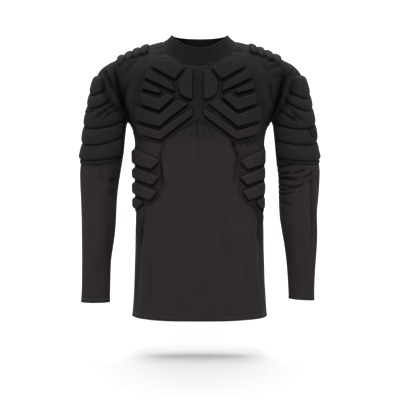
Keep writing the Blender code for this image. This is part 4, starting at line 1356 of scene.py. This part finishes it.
def arm_pad(side_name, table, sleeve, turn, finish):
    """One arm's pad: a grid whose rows follow the grooves of its table."""
    point, length = sleeve_reader(sleeve)
    keyed = tuple((k,) + row for k, row in enumerate(table))
    names = ("groove",) + ARM_COLUMNS
    last_groove = len(table) - 2
    fine = joined_ranges((0, 0.16, 3), (0.16, 0.84, 10), (0.84, 1, 3))[:-1]
    hem = np.linspace(last_groove, last_groove + 1, 7)
    place = np.concatenate([k + fine for k in range(last_groove)] + [hem])
    share = joined_ranges((0, 0.03, 3), (0.03, 0.97, 91), (0.97, 1, 3))
    outer, halfway, inner, last = (read(keyed, names, column, place)[:, None] for column in ARM_COLUMNS)
    # Each of the upper rolls has a round end of its own
    within = place[:, None] % 1.0
    last = last - 7 * (1 - 4 * within * (1 - within)) ** 2 * (place[:, None] < 2.6)
    angle = np.radians(ARM_PAD_BACK_ANGLE + (last - ARM_PAD_BACK_ANGLE) * share)
    part = np.clip(angle / np.radians(last), 0, 1)
    at_outer, at_inner = (1 - part) * (1 - 2 * part), part * (2 * part - 1)
    target = outer * at_outer + halfway * 4 * part * (1 - part) + inner * at_inner
    at = down_sleeve(point, length, angle, target)
    skin = point(at, angle)
    forward = point(at, angle + 0.01) - point(at, angle - 0.01)
    normal = unit(np.cross(forward, point(at + 1, angle) - point(at - 1, angle)))
    rolls = roll(place, ARM_GROOVE, ARM_RIB_HEIGHT)[:, None]
    base = place[:, None] >= last_groove
    rolls = np.where(base, ARM_GROOVE - 1.2 * smoothstep(0.7, 1.0, place[:, None] - last_groove), rolls)
    ends = np.minimum(share, 1 - share)[None, :]
    fade = 1 - (1 - np.clip(ends / 0.035, 0, 1)) ** 2
    top = smoothstep(0, 0.1, place)[:, None]
    height = ARM_RIM + (rolls - ARM_RIM) * fade * (0.25 + 0.75 * top)
    outside = skin + normal * height[..., None]
    plain = outside
    outside = creased(outside, normal, ARM_PAD_CREASES[side_name])
    # Painted shade in the creases, and along the pad's inner end where it turns towards the body.
    shade = crease_shade(plain, outside, normal) * (1 - 0.7 * smoothstep(0.90, 1.0, share)[None, :])
    uneven = soft_noise(outside, 34, 51) * 0.35 + soft_noise(outside, 13, 52) * 0.1
    outside = outside + normal * uneven[..., None]
    inside = skin + normal * ARM_PAD_FOOT
    mirror = np.array([turn, 1, 1])
    outside, inside = outside[::-1] * mirror, inside[::-1] * mirror
    # Painted shade in each groove, stronger in some places than others by slow noise.
    groove = np.abs(place[:, None] - np.round(place[:, None]))
    faint = 0.72 + 0.28 * soft_noise(skin, 60, 61)
    relief = 1 - faint * np.exp(-((groove / 0.055) ** 2)) * (place[:, None] > 0.5)
    relief = np.concatenate([(relief * shade)[::-1].reshape(-1)] * 2)
    made = cloth_mesh(f"arm_pad_{side_name}_cover", outside, finish, thickness=1.0, inward=inside - outside)
    return set_relief(made, relief)


arm_pads = {
    "left": arm_pad("left", LEFT_ARM_PAD, LEFT_SLEEVE, 1, arm_cover),
    "right": arm_pad("right", RIGHT_ARM_PAD, RIGHT_SLEEVE, -1, arm_cover),
}
print("arm pads:", [len(p.data.polygons) for p in arm_pads.values()], "faces")

# %% Shoulder pads
LEFT_SHOULDER_RIBS = (122, 142, 162, 182, 203)
RIGHT_SHOULDER_RIBS = (126, 147, 167, 187, 205)
SHOULDER_PAD_REACH, SHOULDER_PAD_FRONT, SHOULDER_PAD_SLANT = 42.0, 10.0, 5.0
SHOULDER_RIB_HEIGHT, SHOULDER_GROOVE, SHOULDER_RIM = 7.2, 2.0, 1.6


def shoulder_pad(side_name, edges, turn, finish):
    """One shoulder's pad: ribs across the shoulder seam, each with a round end at the front and the back."""
    edges = np.array(edges, float)
    fine = np.linspace(0, 1, 13)[:-1]
    place = np.concatenate([k + fine for k in range(len(edges) - 1)] + [[len(edges) - 1]])[:, None]
    across = joined_ranges((-1, -0.94, 3), (-0.94, 0.94, 47), (0.94, 1, 3))
    side = np.where(across < 0, -1, 1) * np.ones_like(place)
    tall = np.array([0.75, 0.92, 0.86, 0.98, 0.98])[np.floor(place).astype(int)]
    tall = tall * (1 - np.abs(2 * (place % 1.0) - 1) ** 2.4) ** 0.7
    raised = SHOULDER_GROOVE + (SHOULDER_RIB_HEIGHT - SHOULDER_GROOVE) * tall
    x = np.interp(place, np.arange(len(edges)), edges)
    x = x - SHOULDER_PAD_SLANT * across**2 * (x - edges[0]) / (edges[-1] - edges[0])
    z = ridge(x)[..., None] - np.linspace(0, 60, 90)
    theta = theta_at(x[..., None], z)
    ahead, behind = -body_point(-1, theta, z)[..., 1], body_point(1, theta, z)[..., 1]
    run = np.where(across[:, None] < 0, ahead, behind)
    # Each rib has a round end, so the pad's edge is scalloped
    reach = SHOULDER_PAD_REACH + np.where(across < 0, SHOULDER_PAD_FRONT, 0.0)
    far = np.abs(across) * (reach - 5 * np.abs(2 * (place % 1.0) - 1) ** 2)
    height, slope = np.empty(x.shape), np.zeros(x.shape)
    for r in range(len(place)):
        for c in range(len(across)):
            near, beyond = max(far[r, c] - 0.5, 0), far[r, c] + 0.5
            height[r, c], low, high = np.interp((far[r, c], beyond, near), run[r, c], z[r, c])
            slope[r, c] = low - high if near > 0 else 0.0
    along = (ridge(x + 1) - ridge(x - 1)) / 2
    normal = unit(np.stack([-along, -side * slope, np.ones(x.shape)], -1))
    edge = 1 - (1 - np.minimum(1.0, (1 - np.abs(across)) / 0.09)) ** 2
    skin = np.stack([x, side * far, height], -1)
    outside = skin + normal * (SHOULDER_RIM + (raised - SHOULDER_RIM) * edge)[..., None]
    inside = skin + normal * LAYER_GAP
    mirror = np.array([turn, 1, 1])
    outside, inside = outside * mirror, inside * mirror
    # Painted shade: the cover is darker in the grooves between the ribs, following their height.
    relief = tall * np.ones(x.shape)
    name = f"shoulder_pad_{side_name}_cover"
    made = cloth_mesh(name, outside, finish, thickness=1.0, inward=inside - outside)
    return set_relief(made, np.concatenate([relief.reshape(-1)] * 2))


shoulder_pads = {
    "left": shoulder_pad("left", LEFT_SHOULDER_RIBS, 1, pad_cover),
    "right": shoulder_pad("right", RIGHT_SHOULDER_RIBS, -1, pad_cover),
}
print("shoulder pads:", [len(p.data.polygons) for p in shoulder_pads.values()], "faces")

# %% [markdown]
# ## Stitches
#
# Seams on stretch cloth are flat: two rows of short stitches, one on each side of the join, and two rows
# along each hem. A stitch is repeated thousands of times along a path, which is a job for Geometry Nodes: the
# path is resampled at the stitch pitch, a small bead stands on each point, turned along the path, and the
# tree ends in real geometry.


# %% A node tree that sews along curves
def sewing_tree():
    """The node tree: a path, a pitch, a stitch's length and radius and a finish go in, and beads come out."""
    tree = bpy.data.node_groups.new("sewing", "GeometryNodeTree")
    face = tree.interface
    face.new_socket("Geometry", in_out="INPUT", socket_type="NodeSocketGeometry")
    for name, value in (("Pitch", 0.0026), ("Stitch Length", 0.0017), ("Thread Radius", 0.00028)):
        socket = face.new_socket(name, in_out="INPUT", socket_type="NodeSocketFloat")
        socket.default_value = value
    face.new_socket("Thread", in_out="INPUT", socket_type="NodeSocketMaterial")
    face.new_socket("Geometry", in_out="OUTPUT", socket_type="NodeSocketGeometry")

    def node(kind, **settings):
        made = tree.nodes.new(kind)
        for name, value in settings.items():
            setattr(made, name, value)
        return made

    def link(a, output, b, socket):
        tree.links.new(a.outputs[output], b.inputs[socket])

    start, end = node("NodeGroupInput"), node("NodeGroupOutput")
    resample = node("GeometryNodeResampleCurve", mode="LENGTH")
    link(start, "Geometry", resample, "Curve")
    link(start, "Pitch", resample, "Length")
    bead = node("GeometryNodeMeshIcoSphere")
    bead.inputs["Subdivisions"].default_value = 1
    bead.inputs["Radius"].default_value = 1.0
    half = node("ShaderNodeMath", operation="MULTIPLY")
    link(start, "Stitch Length", half, 0)
    half.inputs[1].default_value = 0.5
    size = node("ShaderNodeCombineXYZ")
    link(half, "Value", size, "X")
    link(start, "Thread Radius", size, "Y")
    link(start, "Thread Radius", size, "Z")
    tangent = node("GeometryNodeInputTangent")
    turn = node("FunctionNodeAlignRotationToVector", axis="X")
    link(tangent, "Tangent", turn, "Vector")
    place = node("GeometryNodeInstanceOnPoints")
    link(resample, "Curve", place, "Points")
    link(bead, "Mesh", place, "Instance")
    link(turn, "Rotation", place, "Rotation")
    link(size, "Vector", place, "Scale")
    real = node("GeometryNodeRealizeInstances")
    link(place, "Instances", real, "Geometry")
    paint = node("GeometryNodeSetMaterial")
    link(real, "Geometry", paint, "Geometry")
    link(start, "Thread", paint, "Material")
    link(paint, "Geometry", end, "Geometry")
    return tree


sewing = sewing_tree()
thread_finish = Finish("thread")
thread_place = thread_finish.node("ShaderNodeTexCoord", output=3)
thread_twist = thread_finish.node("ShaderNodeTexNoise", Vector=thread_place, Scale=1400.0, Detail=2.0)
THREAD_DARK, THREAD_LIGHT = (0.012, 0.012, 0.013), (0.034, 0.033, 0.035)
thread_tint = thread_finish.node(
    "ShaderNodeValToRGB", {"stops": ((0.3, THREAD_DARK), (0.7, THREAD_LIGHT))}, Fac=thread_twist
)
thread_shine = (0.5 + thread_twist * 0.2).held(0.2, 0.9)
thread_finish.set(Base_Color=thread_tint, Roughness=thread_shine, Sheen_Weight=0.2)
thread = thread_finish.material


def sewn(name, paths, pitch, length, radius):
    """Stitches along paths, each an array of points in millimetres. Closed paths repeat their first point."""
    curve = bpy.data.curves.new(name + "_path", "CURVE")
    curve.dimensions = "3D"
    for path in paths:
        spline = curve.splines.new("POLY")
        spline.points.add(len(path) - 1)
        places = np.column_stack([np.asarray(path) * MM, np.ones(len(path))])
        spline.points.foreach_set("co", places.reshape(-1))
    carrier = bpy.data.objects.new(name + "_path", curve)
    bpy.context.scene.collection.objects.link(carrier)
    modifier = carrier.modifiers.new("sewing", "NODES")
    modifier.node_group = sewing
    values = {"Pitch": pitch * MM, "Stitch Length": length * MM, "Thread Radius": radius * MM}
    values["Thread"] = thread
    for item in sewing.interface.items_tree:
        if item.item_type == "SOCKET" and item.in_out == "INPUT" and item.name in values:
            modifier[item.identifier] = values[item.name]
    ready = carrier.evaluated_get(bpy.context.evaluated_depsgraph_get())
    mesh = bpy.data.meshes.new_from_object(ready)
    mesh.name = name
    bpy.data.objects.remove(carrier, do_unlink=True)
    made = bpy.data.objects.new(name, mesh)
    bpy.context.scene.collection.objects.link(made)
    print(name + ":", len(mesh.polygons), "faces")
    return made


# %% [markdown]
# ## Where the thread runs
#
# Each path is read from the cloth grids themselves, a little outside the surface, so the stitches follow
# every crease.


# %% Seams and hems
STITCH_LIFT, HEM_ROWS_APART, CUFF_ROWS_APART = 0.12, 3.0, 2.6


def along_row(points, height, closed):
    """The path across a grid at a height in rows, which may lie between two rows."""
    row = int(height)
    part = height - row
    path = points[row] * (1 - part) + points[min(row + 1, len(points) - 1)] * part
    return np.concatenate([path, path[:1]]) if closed else path


def row_at(points, distance, from_end=False):
    """Where a grid's rows are a distance from its first or last row, as a number of rows."""
    middle = points[:, points.shape[1] // 2]
    if from_end:
        middle = middle[::-1]
    run = np.concatenate([[0], np.cumsum(np.linalg.norm(np.diff(middle, axis=0), axis=1))])
    rows = np.interp(distance, run, np.arange(len(middle)))
    return len(points) - 1 - rows if from_end else rows


def lifted(points, outward):
    return points + outward * STITCH_LIFT


front_lift = lifted(front_points, grid_normals(front_points))
back_lift = lifted(back_points, -grid_normals(back_points))
hem_paths = []
for distance in (HEM_FOLD, HEM_FOLD + HEM_ROWS_APART):
    for grid in (front_lift, back_lift):
        hem_paths.append(along_row(grid, row_at(grid, distance), False))
sewn("hem_stitches", hem_paths, pitch=2.6, length=1.9, radius=0.30)

seam_paths = []
for grid in (front_lift, back_lift):
    for column in (1, -2):
        seam_paths.append(grid[3:-1, column])
    quarter = grid.shape[1] // 4
    for part in (slice(2, quarter), slice(-quarter, -2)):
        seam_paths.append(grid[-2, part])
sewn("body_seam_stitches", seam_paths, pitch=2.4, length=1.7, radius=0.26)

sleeve_paths, cuff_paths = [], []
for side_name, turn in (("left", 1), ("right", -1)):
    grid = sleeve_points[side_name]
    grid = lifted(grid, grid_normals(grid, closed=True) * turn)
    for distance in (CUFF_FOLD, CUFF_FOLD + CUFF_ROWS_APART):
        cuff_paths.append(along_row(grid, row_at(grid, distance), True))
    sleeve_paths.append(along_row(grid, row_at(grid, 2.6, from_end=True), True))
sewn("cuff_stitches", cuff_paths, pitch=2.4, length=1.8, radius=0.28)
sewn("sleeve_seam_stitches", sleeve_paths, pitch=2.4, length=1.7, radius=0.26)

band_lift = lifted(band_points, grid_normals(band_points, closed=True))
neck_paths = [along_row(band_lift, 1.6, True), along_row(band_lift, 14.4, True)]
for grid in (front_lift, back_lift):
    quarter = grid.shape[1] // 4
    neck_paths.append(grid[-3, quarter:-quarter])
sewn("neck_stitches", neck_paths, pitch=2.3, length=1.7, radius=0.26)

# %% [markdown]
# ## Floor
#
# The photo is a studio shot on white: the shirt floats, and a soft shadow lies on the floor just below it.
# The floor curves up into a wall far behind, so there is no horizon. Paper that is lit to pure white turns
# black where a shadow falls, so this one is grey and gives off a white light of its own as well: it looks
# white, and the shadow stays soft and pale.

# %% Floor
FLOOR_HEIGHT, FLOOR_HALF_WIDTH = -0.790, 9.0
COVE_START, COVE_RADIUS = 3.0, 2.0
floor_finish = Finish("white_paper")
paper_place = floor_finish.node("ShaderNodeTexCoord", output=3)
paper_grain = floor_finish.node("ShaderNodeTexNoise", Vector=paper_place, Scale=3.0, Detail=3.0)
paper_tint = floor_finish.node(
    "ShaderNodeValToRGB", {"stops": ((0.0, (0.32,) * 3), (1.0, (0.34,) * 3))}, Fac=paper_grain
)
floor_finish.set(
    Base_Color=paper_tint, Roughness=0.9, Emission_Color=(1.0, 1.0, 1.0, 1.0), Emission_Strength=0.37
)
profile = [(-6.0, 0.0), (COVE_START, 0.0)]
for turn in np.linspace(0.1, math.pi / 2, 14):
    profile.append((COVE_START + COVE_RADIUS * math.sin(turn), COVE_RADIUS * (1 - math.cos(turn))))
profile.append((COVE_START + COVE_RADIUS, 7.0))
floor_points = [(x, y, FLOOR_HEIGHT + z) for y, z in profile for x in (-FLOOR_HALF_WIDTH, FLOOR_HALF_WIDTH)]
floor_faces = [(2 * k, 2 * k + 1, 2 * k + 3, 2 * k + 2) for k in range(len(profile) - 1)]
floor_mesh = bpy.data.meshes.new("floor")
floor_mesh.from_pydata(floor_points, [], floor_faces)
floor_mesh.materials.append(floor_finish.material)
floor_mesh.shade_smooth()
floor = bpy.data.objects.new("floor", floor_mesh)
bpy.context.scene.collection.objects.link(floor)

# %% [markdown]
# ## Light
#
# A very wide soft light overhead throws the shadow and, together with the painted shade in the pads' cover,
# the dark lines under the pads. A smaller one in front, above the camera, shapes the folds. One behind and
# two tall ones at the sides draw the bright edges of the shoulders and sleeves, and the last one only lights
# the wall. The Standard view keeps the near black of the cloth as it is, where a film-like view would lift
# it.

# %% Lights
bpy.context.scene.view_settings.view_transform = "Standard"
world = bpy.data.worlds.new("studio")
world.use_nodes = True
bpy.context.scene.world = world
world.node_tree.nodes["Background"].inputs["Color"].default_value = (1, 1, 1, 1)
world.node_tree.nodes["Background"].inputs["Strength"].default_value = 0.2


def soft_light(name, place, target, width, height, power):
    """A rectangular light in metres and watts that faces its target."""
    light = bpy.data.lights.new(name, "AREA")
    light.shape, light.size, light.size_y, light.energy = "RECTANGLE", width, height, power
    made = bpy.data.objects.new(name, light)
    made.location = place
    made.rotation_mode = "QUATERNION"
    made.rotation_quaternion = (Vector(target) - Vector(place)).to_track_quat("-Z", "Y")
    bpy.context.scene.collection.objects.link(made)
    return made


middle = (0, 0, -0.35)
soft_light("sky_light", (0, -0.5, 2.6), (0, 0, FLOOR_HEIGHT), 6.0, 4.5, 182)
soft_light("key_light", (0, -1.9, 1.5), middle, 1.0, 0.6, 44)
soft_light("back_light", (0, 2.2, 2.2), middle, 2.0, 1.0, 12)
soft_light("left_light", (-2.3, -0.3, 0.3), middle, 0.5, 1.6, 12)
soft_light("right_light", (2.3, -0.3, 0.3), middle, 0.5, 1.6, 12)
soft_light("wall_light", (0, 2.4, 3.2), (0, 4.8, 0), 5.0, 1.5, 420)
print("lights set")

# %% [markdown]
# ## Pieces and areas
#
# Each piece hides the CAD parts that it stands for and is attached to the root body. The areas printed here
# are those of the shaped cloth.

# %% What each piece is
nodes = frame["nodes"]
for piece, names in (
    (front, ["front"]),
    (back, ["back"]),
    (sleeves["left"], ["sleeve_left"]),
    (sleeves["right"], ["sleeve_right"]),
    (neckband, ["neckband"]),
    (chest, [n for n in nodes if n.startswith("chest_")]),
    (rib_pads["left"], ["rib_panel_left"]),
    (rib_pads["right"], ["rib_panel_right"]),
    (arm_pads["left"], ["arm_pad_left"]),
    (arm_pads["right"], ["arm_pad_right"]),
    (shoulder_pads["left"], ["shoulder_pad_left"]),
    (shoulder_pads["right"], ["shoulder_pad_right"]),
):
    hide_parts(*names)
    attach(piece, "root")


def grid_area(points, closed=False):
    """Area of a grid of points in square metres."""
    if closed:
        points = np.concatenate([points, points[:, :1]], axis=1)
    a, b = points[1:, :-1] - points[:-1, :-1], points[:-1, 1:] - points[:-1, :-1]
    c, d = points[1:, :-1] - points[1:, 1:], points[:-1, 1:] - points[1:, 1:]
    triangles = np.linalg.norm([np.cross(a, b), np.cross(c, d)], axis=-1) / 2
    return float(triangles.sum()) * MM**2


print("areas:", {
    "front": round(grid_area(front_points), 4),
    "back": round(grid_area(back_points), 4),
    "sleeve_left": round(grid_area(sleeve_points["left"], True), 4),
    "sleeve_right": round(grid_area(sleeve_points["right"], True), 4),
    "neckband": round(grid_area(band_points, True), 4),
})
stitches = [o for o in bpy.data.objects if o.name.endswith("_stitches")]
for piece in stitches:
    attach(piece, "root")
